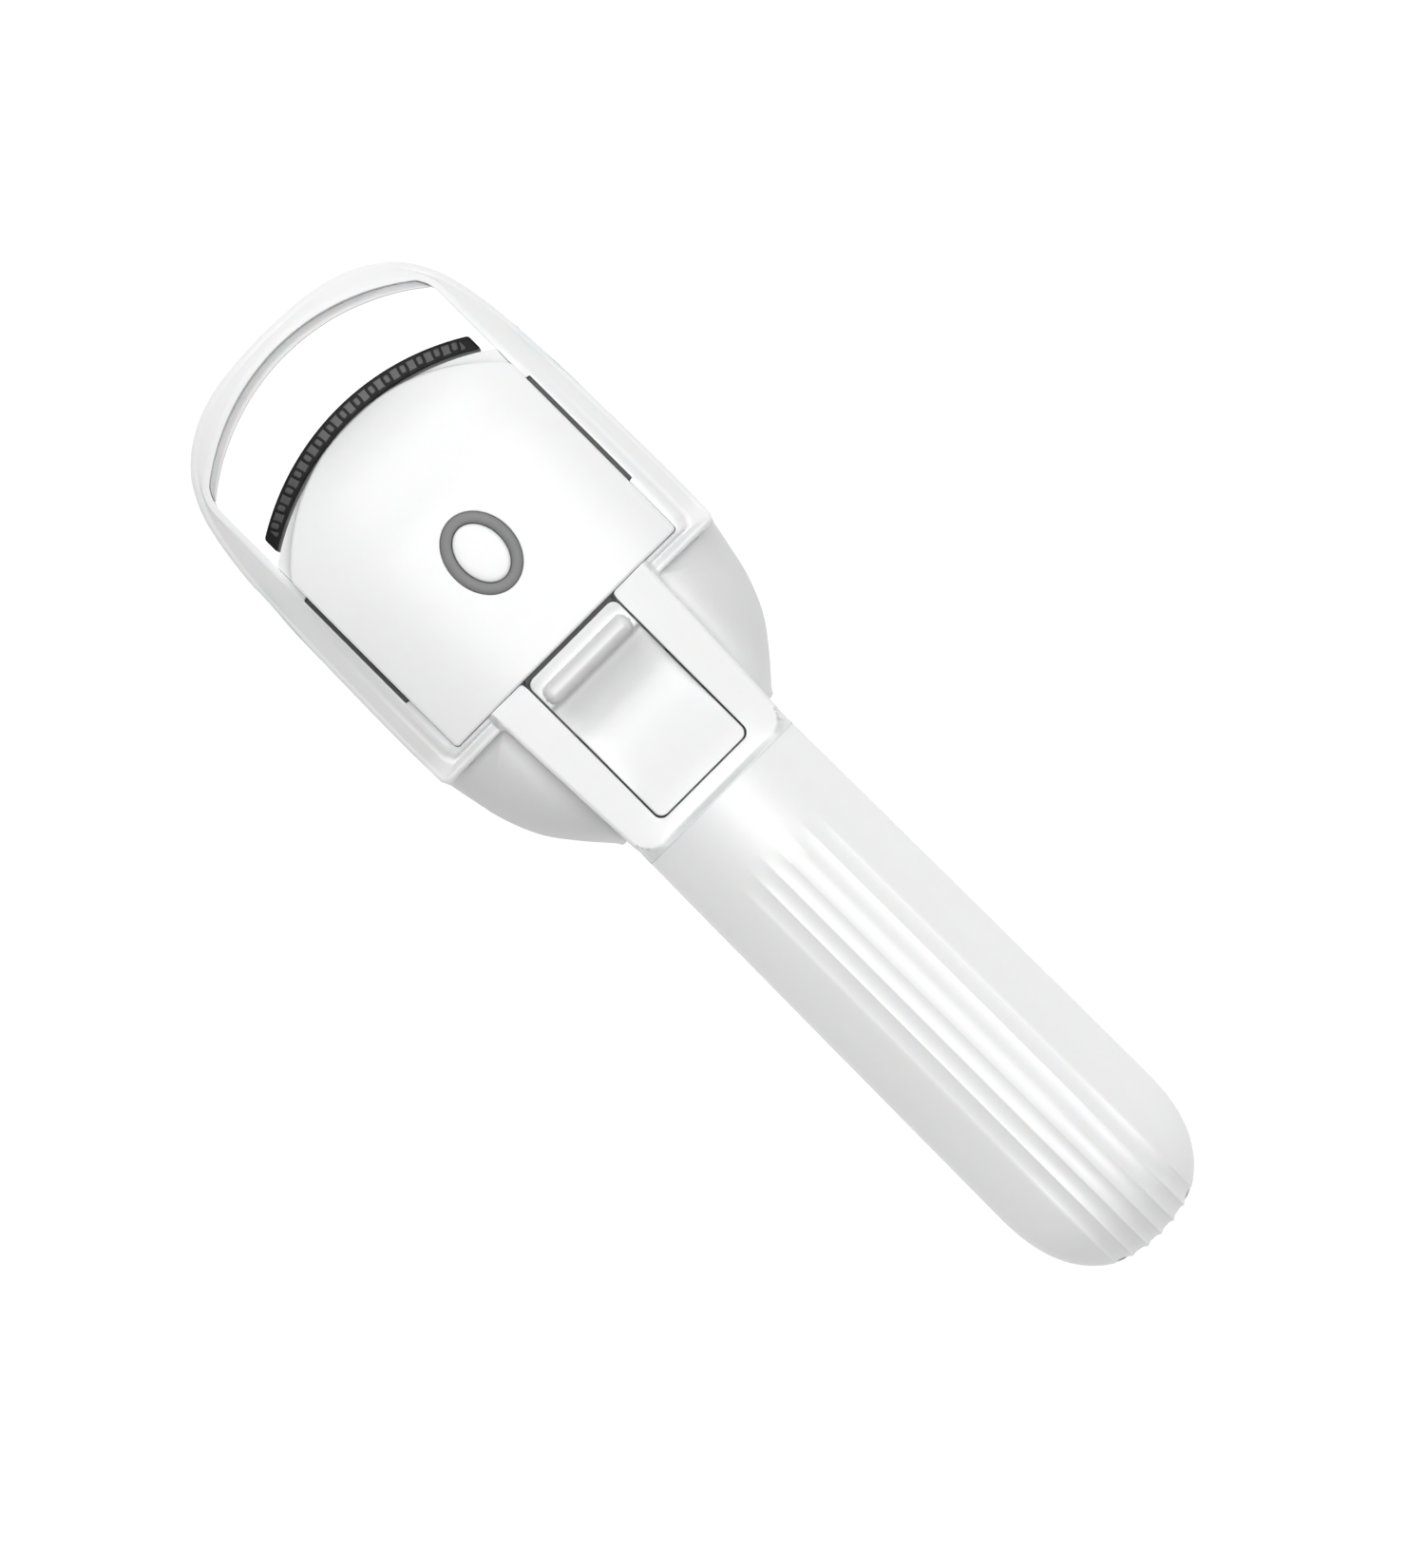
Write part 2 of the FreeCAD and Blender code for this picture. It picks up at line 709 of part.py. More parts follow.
def panel_rim(edge):
    """True for an edge on the outer rim of the panel's front face."""
    box = edge.BoundBox
    middle = edge.valueAt((edge.FirstParameter + edge.LastParameter) / 2)
    half_width = number("carriage_half_width")
    along_side = abs(abs(middle.x) - half_width) < 0.01 and box.YLength > 5 and box.ZMin > 14
    low_edge = abs(middle.y - number("panel_low")) < 0.01 and box.XLength > 25 and box.ZMin > 14
    return along_side or low_edge


def carriage_base():
    """The sliding plate under the panel: wide tray, side tabs, narrow arms and two guide lugs."""
    plate = prism("base_plate", "XY", mirrored([
        ("arm_half_width", "lug_low"),
        ("arm_half_width", "panel_low"),
        ("carriage_half_width", "panel_low"),
        ("carriage_half_width", "holder_low_side - 0.05", "holder_radius"),
    ]), "plate_low", "plate_high")
    relief = block("base_relief", ("-3.6", "3.6"), ("lug_low - 1", "lug_high + 3"), ("0", "20"))
    tabs = [
        ("carriage_half_width - 1", "tab_reach"),
        ("-tab_reach", "1 - carriage_half_width"),
    ]
    lugs = [
        ("lug_inner", "arm_half_width"),
        ("-arm_half_width", "-lug_inner"),
    ]
    pieces = [plate]
    holes = [relief]
    for tab in tabs:
        pieces.append(block("base_tab", tab, ("tab_low", "tab_high"), ("plate_low", "plate_high")))
    for lug in lugs:
        pieces.append(block("base_lug", lug, ("lug_low", "lug_high"), ("lug_bottom", "plate_high - 0.2")))
    for side in (-1, 1):
        at = (f"{side} * rod_across", "lug_low - 1", "rod_height")
        holes.append(rod("lug_hole", "bushing_radius", "10", at, (0, 1, 0)))
    for across, along in boss_places():
        start = (across, along, "plate_low - 1")
        holes.append(rod("base_screw_hole", "panel_screw_radius + 0.1", "5", start, (0, 0, 1)))
    finished("carriage_base", cut("base", fuse("base_joined", *pieces), *holes))


def slide_bushings():
    """The two plain sleeves that run on the guide rods."""
    bushings = []
    for side in (-1, 1):
        at = (f"{side} * rod_across", "lug_low", "rod_height")
        sleeve = rod("bushing_sleeve", "bushing_radius - 0.01", "lug_high - lug_low", at, (0, 1, 0))
        bore = rod("bushing_bore", "rod_radius + 0.04", "lug_high - lug_low", at, (0, 1, 0))
        bushings.append(cut("bushing", sleeve, bore))
    finished("slide_bushings", fuse("bushings", *bushings))


def panel_screws():
    """The four screws that hold the panel down on the carriage base."""
    screws = []
    length = "plate_high + 2.8 - plate_low"
    for across, along in boss_places():
        start = (across, along, "plate_low")
        shank = rod("panel_screw_shank", "panel_screw_radius", length, start, (0, 0, 1))
        head_start = (across, along, "plate_low - panel_screw_head_height")
        head = rod("panel_screw_head", "panel_screw_head_radius", "panel_screw_head_height",
                   head_start, (0, 0, 1))
        screws.append(fuse("panel_screw", shank, head))
    finished("panel_screws", fuse("panel_screw_set", *screws))


def holder():
    """The heat-resistant bar that carries the strip along the top of the base."""
    band = arc_band("holder_band", "carriage_half_width", "holder_low_side", "holder_radius",
                    "holder_high_side", "holder_radius")
    zone = block("holder_zone", PAST, ("0", "half_length"), ("plate_low", "plate_high"))
    finished("heater_holder", common("holder", band, zone))


def element(name, slack):
    """The heating element inside the strip, grown by a slack all round."""
    band = arc_band(name + "_band", f"strip_half_width - 1 + {slack}", f"strip_low_side + 0.85 - {slack}",
                    "strip_radius", f"strip_high_side + 0.15 + {slack}", "strip_radius")
    return bowed(name, band, f"element_front_cover - {slack}", f"element_back_cover - {slack}")


def comb_cells():
    """Shallow square cells spaced evenly along the front of the strip."""
    rise = "sqrt(strip_radius * strip_radius - strip_half_width * strip_half_width)"
    bow_radius = "strip_radius + 0.45"
    cells = []
    for index in range(int(number("comb_cells"))):
        turn = f"(({index} - (comb_cells - 1) / 2) * comb_pitch / strip_radius * 1 rad)"
        across = f"({bow_radius}) * sin({turn})"
        along = f"strip_low_side - {rise} + ({bow_radius}) * cos({turn})"
        bow = f"(crown_radius - sqrt(crown_radius * crown_radius - ({across}) * ({across})))"
        tilt = f"({along} - shoulder_low) * tan(crown_tilt * 1 deg)"
        cell = block("comb_cell", ("0", "comb_cell_width"), ("0", "comb_cell_length"),
                     ("0", "2 * comb_cell_depth"))
        angle = math.radians(number(turn))
        cell.Placement.Rotation = FreeCAD.Rotation(FreeCAD.Vector(0, 0, 1), -math.degrees(angle))
        place(cell, f"{across} - comb_cell_width / 2 * cos({turn})",
              f"{along} + comb_cell_width / 2 * sin({turn})",
              f"crown_height - {tilt} - {bow} - comb_cell_depth")
        cells.append(cell)
    return cells


def heater_strip():
    """The curved strip with its row of cells and a closed pocket for the element."""
    band = arc_band("strip_band", "strip_half_width", "strip_low_side", "strip_radius",
                    "strip_high_side", "strip_radius")
    strip = bowed("strip_form", band, "strip_setback", "strip_lift")
    finished("heater_strip", cut("strip", strip, element("strip_pocket", "0.05"), *comb_cells()))


def light_ring():
    """The oval ring of clear plastic round the power button."""
    outer = oval("ring_outer", "ring_half_width", "ring_half_length", "17.6", "panel_crown - 0.05")
    inner = oval("ring_inner", "cap_half_width + 0.07", "cap_half_length + 0.07", "17", "overshoot")
    finished("light_ring", cut("light_ring_form", outer, inner))


def power_button():
    """The oval cap, with a collar that keeps it behind the ring and a stem that meets the switch."""
    cap = oval("cap_face", "cap_half_width", "cap_half_length", "16.6", "panel_crown - 0.1")
    collar = oval("cap_collar", "cap_half_width + 0.6", "cap_half_length + 0.6", "16.6", "17.3")
    stem = rod("cap_stem", "1.0", "0.8", ("0", "button_along", "16.0"), (0, 0, 1))
    finished("power_button", fuse("cap", cap, collar, stem))


def control_board():
    """The board inside the panel with its push switch and four status lights."""
    low = "plate_high + 0.05"
    high = f"{low} + board_thickness"
    board_across = ("-control_board_half_width", "control_board_half_width")
    board_along = ("control_board_low", "control_board_high")
    finished("control_board", block("control_board_plate", board_across, board_along, (low, high)))
    switch_across = ("-switch_half_width", "switch_half_width")
    switch_along = ("button_along - switch_half_width", "button_along + switch_half_width")
    finished("button_switch", block("switch", switch_across, switch_along, (f"{high} + 0.01", "switch_top")))
    lights = []
    for side in (-1, 1):
        for end in (-1, 1):
            across = f"{side} * light_across"
            along = f"button_along + {end} * light_along"
            lights.append(block("light", (f"{across} - light_half_width", f"{across} + light_half_width"),
                                (f"{along} - light_half_length", f"{along} + light_half_length"),
                                (f"{high} + 0.01", f"{high} + 0.01 + light_height")))
    finished("status_lights", fuse("lights", *lights))


def thumb_slider():
    """The thumb piece: scooped face, rounded ridge and shelf, on a flange that stays under the tongue."""
    side = prism("thumb_side", "YZ", [
        ("thumb_low", "flange_low"),
        ("thumb_high", "flange_low"),
        ("thumb_high", "shelf_height"),
        ("ridge_top", "shelf_height"),
        ("ridge_top", "ridge_height - 0.6", "ridge_radius"),
        ("ridge_foot", "ridge_height - 0.6"),
        ("ridge_foot - 0.6", "scoop_high_height", "-scoop_radius"),
        ("thumb_low", "scoop_low_height"),
    ], "-thumb_half_width", "thumb_half_width")
    plan = prism("thumb_plan", "XY", mirrored([
        ("thumb_half_width - 1", "thumb_low", "1"),
        ("thumb_half_width", "thumb_low + 1"),
        ("thumb_half_width", "thumb_high"),
    ]), "0", "overshoot")
    flange = block("thumb_flange", ("-flange_half_width", "flange_half_width"),
                   ("flange_foot", "flange_head"), ("flange_low", "flange_high"))
    finished("thumb_slider", fuse("slider", common("thumb_grip", side, plan), flange))


# ---------------------------------------------------------------- fixed inside parts

def screw_places():
    """Where the three housing screws stand, and how far up each one reaches."""
    return [("0", "8.0", "3.9"), ("-10", "41.5", "6.0"), ("10", "41.5", "6.0")]


def chassis():
    """The inner frame: a floor, two walls that hold the guide rods, and screw bosses."""
    depth = ("cover_wall + 0.05", "chassis_floor")
    floor_width = ("-chassis_half_width", "chassis_half_width")
    floor = block("chassis_plate", floor_width, ("chassis_low", "upper_wall"), depth)
    deck_width = ("-deck_half_width", "deck_half_width")
    deck = block("chassis_deck", deck_width, ("upper_wall", "chassis_high"), depth)
    pieces = [floor, deck]
    for start in ("chassis_low", "upper_wall"):
        pieces.append(block("chassis_wall", ("-wall_half_width", "wall_half_width"),
                            (start, f"{start} + wall_thickness"), (depth[0], "core_height - 0.1")))
    passage_along = ("upper_wall - 1", "upper_wall + 3")
    holes = [block("flex_passage", ("-3.2", "3.2"), passage_along, ("chassis_floor + 0.4", "6"))]
    for across, along, top in screw_places():
        foot = (across, along, "chassis_floor - 0.2")
        pieces.append(rod("chassis_boss", "boss_radius", f"{top} - chassis_floor + 0.5", foot, (0, 0, 1)))
        holes.append(rod("chassis_screw_hole", "screw_radius + 0.05", "core_height + 0.6",
                         (across, along, "0"), (0, 0, 1)))
    for side in (-1, 1):
        at = (f"{side} * rod_across", "chassis_low - 1", "rod_height")
        holes.append(rod("chassis_rod_hole", "rod_radius", "upper_wall + overshoot", at, (0, 1, 0)))
    finished("slide_chassis", cut("chassis", fuse("chassis_joined", *pieces), *holes))


def spring(name, across, length):
    """One coil spring round a guide rod, between the carriage lug and the upper wall."""
    body = doc.addObject("PartDesign::Body", name)
    sketch = flat_sketch(body, "XY", name + "_wire")
    middle = FreeCAD.Vector(number("spring_radius"), 0, 0)
    wire = sketch.addGeometry(Part.Circle(middle, FreeCAD.Vector(0, 0, 1), number("spring_wire")))
    for axis, size in (("X", "spring_radius"), ("Y", "0")):
        rule = Sketcher.Constraint("Distance" + axis, -1, 1, wire, 3, number(size))
        name_rule(sketch, rule, "middle_" + axis, size)
    name_rule(sketch, Sketcher.Constraint("Radius", wire, number("spring_wire")), "wire", "spring_wire")
    coil = body.newObject("PartDesign::AdditiveHelix", name + "_coil")
    coil.Profile = sketch
    coil.ReferenceAxis = (sketch, ["V_Axis"])
    coil.Mode = "pitch-height-angle"
    bind(coil, "Height", f"{length} - 3 * spring_wire")
    bind(coil, "Pitch", f"({length} - 3 * spring_wire) / spring_turns")
    body.Tip = coil
    return place(body, across, "lug_high + 1.5 * spring_wire", "rod_height")


def guide():
    """The two steel rods and the two return springs round them."""
    rods = []
    springs = []
    rod_length = "upper_wall + wall_thickness - chassis_low"
    for side in (-1, 1):
        across = f"{side} * rod_across"
        at = (across, "chassis_low", "rod_height")
        rods.append(rod("guide_rod", "rod_radius", rod_length, at, (0, 1, 0)))
        springs.append(spring("return_spring", across, "upper_wall - lug_high"))
    finished("guide_rods", fuse("rods", *rods))
    pair = doc.addObject("Part::Compound", "spring_pair")
    pair.Links = springs
    finished("return_springs", pair)


def shield():
    """The fixed cover over the works, seen only while the carriage is lifted."""
    width = ("0.2 - window_half_width", "window_half_width - 0.2")
    length = ("window_low + 0.15", "bridge_along - 0.4")
    finished("mechanism_shield", block("shield", width, length, ("shield_low", "shield_high")))


def main_board():
    """The fixed board with its four chips."""
    low = "chassis_floor + 0.05"
    high = f"{low} + board_thickness"
    board_across = ("-main_board_half_width", "main_board_half_width")
    board_along = ("main_board_low", "main_board_high")
    finished("main_board", block("main_board_plate", board_across, board_along, (low, high)))
    sizes = [
        ("-9", "27", "5", "5"),
        ("4", "30", "6", "4"),
        ("-8", "34.5", "3", "2"),
        ("5", "25.5", "3", "2"),
    ]
    chips = []
    for across, along, width, length in sizes:
        chips.append(block("chip", (across, f"{across} + {width}"), (along, f"{along} + {length}"),
                           (f"{high} + 0.01", f"{high} + chip_height")))
    finished("board_chips", fuse("chips", *chips))


def ribbon_cable():
    """The flat cable that folds back under the carriage and rolls as it moves."""
    finished("ribbon_cable", prism("ribbon", "YZ", [
        ("ribbon_fold + 6.5", "ribbon_high"),
        ("ribbon_fold", "ribbon_high", "ribbon_fold_radius"),
        ("ribbon_fold", "ribbon_low"),
        ("ribbon_fold + 12.5", "ribbon_low"),
        ("ribbon_fold + 12.5", "ribbon_low + ribbon_thickness"),
        ("ribbon_fold", "ribbon_low + ribbon_thickness", "ribbon_thickness - ribbon_fold_radius"),
        ("ribbon_fold", "ribbon_high - ribbon_thickness"),
        ("ribbon_fold + 6.5", "ribbon_high - ribbon_thickness"),
    ], "-ribbon_half_width", "ribbon_half_width"))


def battery():
    """The round cell with its raised tip, resting in a saddle."""
    cell = rod("cell", "cell_radius", "cell_high - cell_low", ("0", "cell_low", "cell_height"), (0, 1, 0))
    tip = rod("cell_tip", "1.8", "0.8", ("0", "cell_high", "cell_height"), (0, 1, 0))
    finished("battery_cell", fuse("cell_tipped", cell, tip))
    cradle_across = ("-cradle_half_width", "cradle_half_width")
    cradle_along = ("cell_low + cradle_setback", "cell_high - cradle_setback")
    cradle = block("cradle_block", cradle_across, cradle_along, ("handle_wall + 0.05", "6"))
    saddle_start = ("0", "cell_low - 5", "cell_height")
    saddle = rod("cradle_saddle", "cell_radius + 0.02", "2 * overshoot", saddle_start, (0, 1, 0))
    finished("battery_cradle", cut("cradle", cradle, saddle))


def charging_socket():
    """The rounded socket at the end of the handle, on its small board."""
    board_across = ("-charge_board_half_width", "charge_board_half_width")
    board_along = ("charge_board_low", "charge_board_high")
    board_up = ("charge_board_height", "charge_board_height + board_thickness")
    finished("charge_board", block("charge_board_plate", board_across, board_along, board_up))
    can_along = ("port_mouth", "port_mouth + port_length")
    can = common("port_form", port_opening("port_shell", "0"),
                 block("port_zone", PAST, can_along, ("0", "overshoot")))
    bore_along = ("port_mouth - 1", "port_mouth + port_depth")
    bore = common("port_hollow", port_opening("port_space", "-port_wall"),
                  block("port_reach", PAST, bore_along, ("0", "overshoot")))
    blade_across = ("-port_blade_half_width", "port_blade_half_width")
    blade_up = ("core_height - port_blade_half_depth", "core_height + port_blade_half_depth")
    blade = block("port_blade", blade_across, ("port_mouth + 0.8", "port_mouth + port_depth + 0.5"), blade_up)
    finished("charging_socket", fuse("socket", cut("port_can", can, bore), blade))


def housing_screws():
    """Three identical screws through the rear cover into the chassis."""
    screws = []
    for across, along, top in screw_places():
        start = (across, along, "screw_head_start")
        head = rod("screw_head", "screw_head_radius", "screw_head_height", start, (0, 0, 1))
        drive = rod("screw_drive", "0.6", "0.4", (across, along, "screw_head_start - 0.2"), (0, 0, 1))
        shank_start = (across, along, "screw_head_start + 0.5")
        length = f"{top} - screw_head_start - 0.5"
        shank = rod("screw_shank", "screw_radius", length, shank_start, (0, 0, 1))
        screws.append(cut("screw", fuse("screw_solid", head, shank), drive))
    finished("housing_screws", fuse("screw_set", *screws))


def check_and_write():
    """Stop on any failed feature or bad solid, then write every sub-part."""
    doc.recompute()
    failed = [thing.Name for thing in doc.Objects if {"Invalid", "Error"} & set(thing.State)]
    if failed:
        raise RuntimeError(f"features failed: {failed}")
    for name, thing in nodes:
        if thing.Shape.isNull() or not thing.Shape.isValid() or not thing.Shape.Solids:
            raise RuntimeError(f"{name} is not a valid solid")
    for name, thing in nodes:
        thing.Shape.exportStep(f"parts/{name}.step")


handle_shells()
head_frame()
rear_cover()
arch_pad()
panel_cover()
carriage_base()
slide_bushings()
panel_screws()
holder()
finished("heating_element", element("element", "0"))
heater_strip()
light_ring()
power_button()
control_board()
thumb_slider()
chassis()
guide()
shield()
main_board()
ribbon_cable()
battery()
charging_socket()
housing_screws()
check_and_write()
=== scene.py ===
import math
import bmesh
import bpy
import mathutils
import numpy as np
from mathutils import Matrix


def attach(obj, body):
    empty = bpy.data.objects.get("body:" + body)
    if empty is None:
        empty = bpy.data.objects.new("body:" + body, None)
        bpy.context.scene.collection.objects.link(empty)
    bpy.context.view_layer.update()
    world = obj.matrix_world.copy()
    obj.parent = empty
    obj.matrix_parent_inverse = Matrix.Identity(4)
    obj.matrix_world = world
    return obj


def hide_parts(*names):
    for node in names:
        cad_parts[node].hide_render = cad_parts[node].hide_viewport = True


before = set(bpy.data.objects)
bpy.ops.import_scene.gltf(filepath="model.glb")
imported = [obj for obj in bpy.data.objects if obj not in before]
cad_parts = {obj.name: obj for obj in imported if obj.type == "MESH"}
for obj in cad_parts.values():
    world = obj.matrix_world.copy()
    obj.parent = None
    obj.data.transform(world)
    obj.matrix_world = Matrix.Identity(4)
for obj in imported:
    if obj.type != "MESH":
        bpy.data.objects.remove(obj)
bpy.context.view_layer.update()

MM = 0.001

# heights and curves shared by several pieces, in millimetres
CORE = 9.4            # parting plane of the housing
BACK = 0.0            # the flat the curler lies on
SEAM = 0.05           # hairline between two fixed mouldings
CROWN_TOP = 18.3      # front face of the head at its shoulder
CROWN_RADIUS = 55.0
CROWN_SLOPE = math.tan(math.radians(5.3))
SHOULDER = 19.4       # where the head ends and the wings begin
BRIDGE = 48.2         # where the arch leaves the rear cover
HOLLOW_TOP = 7.3      # back face of the arch
HOLLOW_RADIUS = 50.0
ARCH_RADIUS = 25.0    # inner edge of the arch
ARCH_MIDDLE = 39.27
ARCH_HALF = 15.29
UNDER_EDGE = 0.15     # round along the hidden underside of a plate


# ---------------------------------------------------------------- mesh tools

def ease(value, start, end):
    """Smooth step from 0 at start to 1 at end."""
    t = np.clip((value - start) / (end - start), 0.0, 1.0)
    return t * t * (3 - 2 * t)


def piece_from(name, vertices, faces, body, crease=38.0):
    """Make a smooth-shaded piece from millimetre vertices, sharp where its faces turn by more than crease."""
    mesh = bpy.data.meshes.new(name)
    mesh.from_pydata((np.asarray(vertices) * MM).tolist(), [], [list(face) for face in faces])
    shape = bmesh.new()
    shape.from_mesh(mesh)
    bmesh.ops.recalc_face_normals(shape, faces=shape.faces)
    shape.to_mesh(mesh)
    shape.free()
    piece = bpy.data.objects.new(name, mesh)
    bpy.context.scene.collection.objects.link(piece)
    mesh.shade_smooth()
    mesh.set_sharp_from_angle(angle=math.radians(crease))
    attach(piece, body)
    return piece


class Solid:
    """Vertices and faces of one piece, gathered from several grids."""

    def __init__(self):
        """Start empty. finishes holds the face counts at which a further finish begins."""
        self.vertices = []
        self.faces = []
        self.count = 0
        self.finishes = []

    def second_finish(self):
        """Faces added from here on take the next of the piece's finishes."""
        self.finishes.append(len(self.faces))

    def add(self, points):
        """Add points and return the number of the first."""
        start = self.count
        self.vertices.append(np.asarray(points, dtype=float).reshape(-1, 3))
        self.count += len(self.vertices[-1])
        return start

    def grid(self, rows, wrap_rows=False, wrap_loop=True, flip=False):
        """Join a stack of equal loops of points with quads."""
        rows = np.asarray(rows, dtype=float)
        count, size = rows.shape[:2]
        start = self.add(rows)
        i = np.arange(count if wrap_rows else count - 1)[:, None]
        j = np.arange(size if wrap_loop else size - 1)[None, :]
        a = start + i * size + j
        b = start + i * size + (j + 1) % size
        c = start + ((i + 1) % count) * size + (j + 1) % size
        d = start + ((i + 1) % count) * size + j
        corners = (a, d, c, b) if flip else (a, b, c, d)
        quads = np.stack([np.broadcast_to(corner, a.shape) for corner in corners], axis=-1)
        self.faces.extend(map(tuple, quads.reshape(-1, 4).tolist()))
        return start

    def walls(self, rim, first, second):
        """Join two grids with quads along a closed rim of point numbers that both share."""
        for here, there in zip(rim, rim[1:] + rim[:1]):
            self.faces.append((first + here, first + there, second + there, second + here))

    def cap(self, start, size, flip=False):
        """Close a loop with one polygon."""
        loop = list(range(start, start + size))
        self.faces.append(tuple(loop[::-1] if flip else loop))

    def piece(self, name, body, slot, crease=38.0):
        """Make the piece that these faces describe."""
        piece = piece_from(name, np.concatenate(self.vertices), self.faces, body, crease)
        for start in self.finishes:
            for polygon in piece.data.polygons[start:]:
                polygon.material_index += 1
        return piece


def arc(centre, radius, first, last, count):
    """Points on an arc, angles in degrees, both ends included."""
    turn = np.radians(np.linspace(first, last, count))
    return np.stack([centre[0] + radius * np.cos(turn), centre[1] + radius * np.sin(turn)], axis=1)


def spline(points, count):
    """A smooth curve through a few points, evenly spread by length."""
    p = np.asarray(points, dtype=float)
    ends = np.concatenate([[2 * p[0] - p[1]], p, [2 * p[-1] - p[-2]]])
    fine = []
    for k in range(1, len(ends) - 2):
        t = np.linspace(0, 1, 40, endpoint=False)[:, None]
        before, here, there, after = ends[k - 1], ends[k], ends[k + 1], ends[k + 2]
        square = 2 * before - 5 * here + 4 * there - after
        cube = 3 * here - before - 3 * there + after
        fine.append(0.5 * (2 * here + (there - before) * t + square * t ** 2 + cube * t ** 3))
    return even(np.concatenate(fine + [p[-1:]]), count)


def even(points, count):
    """Spread points evenly by length along an open line."""
    points = np.asarray(points, dtype=float)
    reach = np.concatenate([[0], np.cumsum(np.linalg.norm(np.diff(points, axis=0), axis=1))])
    at = np.linspace(0, reach[-1], count)
    return np.stack([np.interp(at, reach, points[:, k]) for k in range(points.shape[1])], axis=1)


def both_halves(right):
    """Close a right-hand line that runs from the top of the middle to its bottom with its mirror image."""
    left = right[::-1] * np.array([-1.0, 1.0])
    return np.concatenate([right, left[1:-1]])


def inset(loop, distance):
    """Move a clockwise closed line inwards by a distance, along its normals."""
    along = np.roll(loop, -1, axis=0) - np.roll(loop, 1, axis=0)
    along /= np.maximum(np.linalg.norm(along, axis=1, keepdims=True), 1e-9)
    inward = np.stack([along[:, 1], -along[:, 0]], axis=1)
    return loop + inward * np.reshape(distance, (-1, 1))


def at_height(loop, height):
    """Give a flat loop its heights."""
    return np.column_stack([loop, np.broadcast_to(height, len(loop))])


def fillet_steps(count):
    """Inset and drop of a quarter round, as fractions of its radius, from the wall to the face."""
    turn = np.linspace(0, math.pi / 2, count)
    return list(zip(1 - np.cos(turn), 1 - np.sin(turn)))


def crown(x, y):
    """Front face of the head: bowed across, tilted along."""
    return CROWN_TOP - (y - SHOULDER) * CROWN_SLOPE - (CROWN_RADIUS - np.sqrt(CROWN_RADIUS ** 2 - x ** 2))


def hollow(x):
    """Back face of the arch, hollowed to pass over the brow."""
    return HOLLOW_TOP - (HOLLOW_RADIUS - np.sqrt(HOLLOW_RADIUS ** 2 - x ** 2))


def slab_stations(size, count, edge, corner):
    """Places of the grid lines across a plate, closer together where its edge and corners turn."""
    rim = [edge * inwards for inwards, _ in fillet_steps(6)] + [edge * 1.6, edge * 2.4]
    reach = max(corner, edge * 2.4)
    if reach > edge * 2.4:
        rim += list(np.linspace(edge * 2.4, reach, 5)[1:])
    start = np.array(rim)
    middle = np.linspace(start[-1], size - start[-1], count)[1:-1]
    return np.concatenate([start, middle, size - start[::-1]])


def round_corners(u, v, width, length, corner):
    """Pull a rectangular grid in at its corners. Also gives each point's distance from the edge."""
    short_u = np.maximum(corner - np.minimum(u, width - u), 0)
    short_v = np.maximum(corner - np.minimum(v, length - v), 0)
    level = np.maximum(short_u, short_v)
    spread = np.hypot(short_u, short_v)
    shrink = np.where(spread > 1e-9, level / np.maximum(spread, 1e-9), 1.0)
    at_corner = (short_u > 0) & (short_v > 0)
    near_u = np.where(u < width / 2, corner - short_u * shrink, width - corner + short_u * shrink)
    near_v = np.where(v < length / 2, corner - short_v * shrink, length - corner + short_v * shrink)
    u = np.where(at_corner, near_u, u)
    v = np.where(at_corner, near_v, v)
    from_side = np.minimum(np.minimum(u, width - u), np.minimum(v, length - v))
    return u, v, np.where(at_corner, corner - level, from_side)


def slab(solid, width, length, place, top, bottom, edge, corner, counts=(60, 40), draft=None):
    """A rounded plate: place maps a rectangle into plan, draft moves its underside."""
    across = slab_stations(width, counts[0], edge, corner)
    along = slab_stations(length, counts[1], edge, corner)
    u, v = np.meshgrid(across, along, indexing="ij")
    u, v, inside = round_corners(u, v, width, length, corner)

    def rounded(radius):
        """Drop of the surface near its edge."""
        short = np.clip(radius - inside, 0, radius)
        return radius - np.sqrt(np.maximum(radius ** 2 - short ** 2, 0))

    x, y = place(u - width / 2, v)
    upper = np.stack([x, y, top(x, y) - rounded(edge)], axis=-1)
    under_height = bottom(x, y) + rounded(UNDER_EDGE)
    if draft:
        x, y = draft(x, y)
    lower = np.stack([x, y, under_height], axis=-1)
    first = solid.grid(upper, wrap_loop=False)
    second = solid.grid(lower, wrap_loop=False, flip=True)
    solid.walls(grid_rim(*u.shape), first, second)


def grid_rim(rows, columns):
    """Point numbers round the outside of a grid, in order."""
    near = [row * columns for row in range(rows)]
    right = [(rows - 1) * columns + column for column in range(1, columns)]
    far = [row * columns + columns - 1 for row in range(rows - 2, -1, -1)]
    left = list(range(columns - 2, 0, -1))
    return near + right + far + left


# ---------------------------------------------------------------- head frame

def segments(parts, counts):
    """Join the pieces of an outline, each resampled to its own count, without repeating their shared ends."""
    lines = [even(part, count) for part, count in zip(parts, counts)]
    return np.concatenate([lines[0]] + [line[1:] for line in lines[1:]])


def cut_at(line, height):
    """Split a falling line where it first drops below a height."""
    index = int(np.argmax(line[:, 1] < height))
    return line[:index + 1], line[index:]


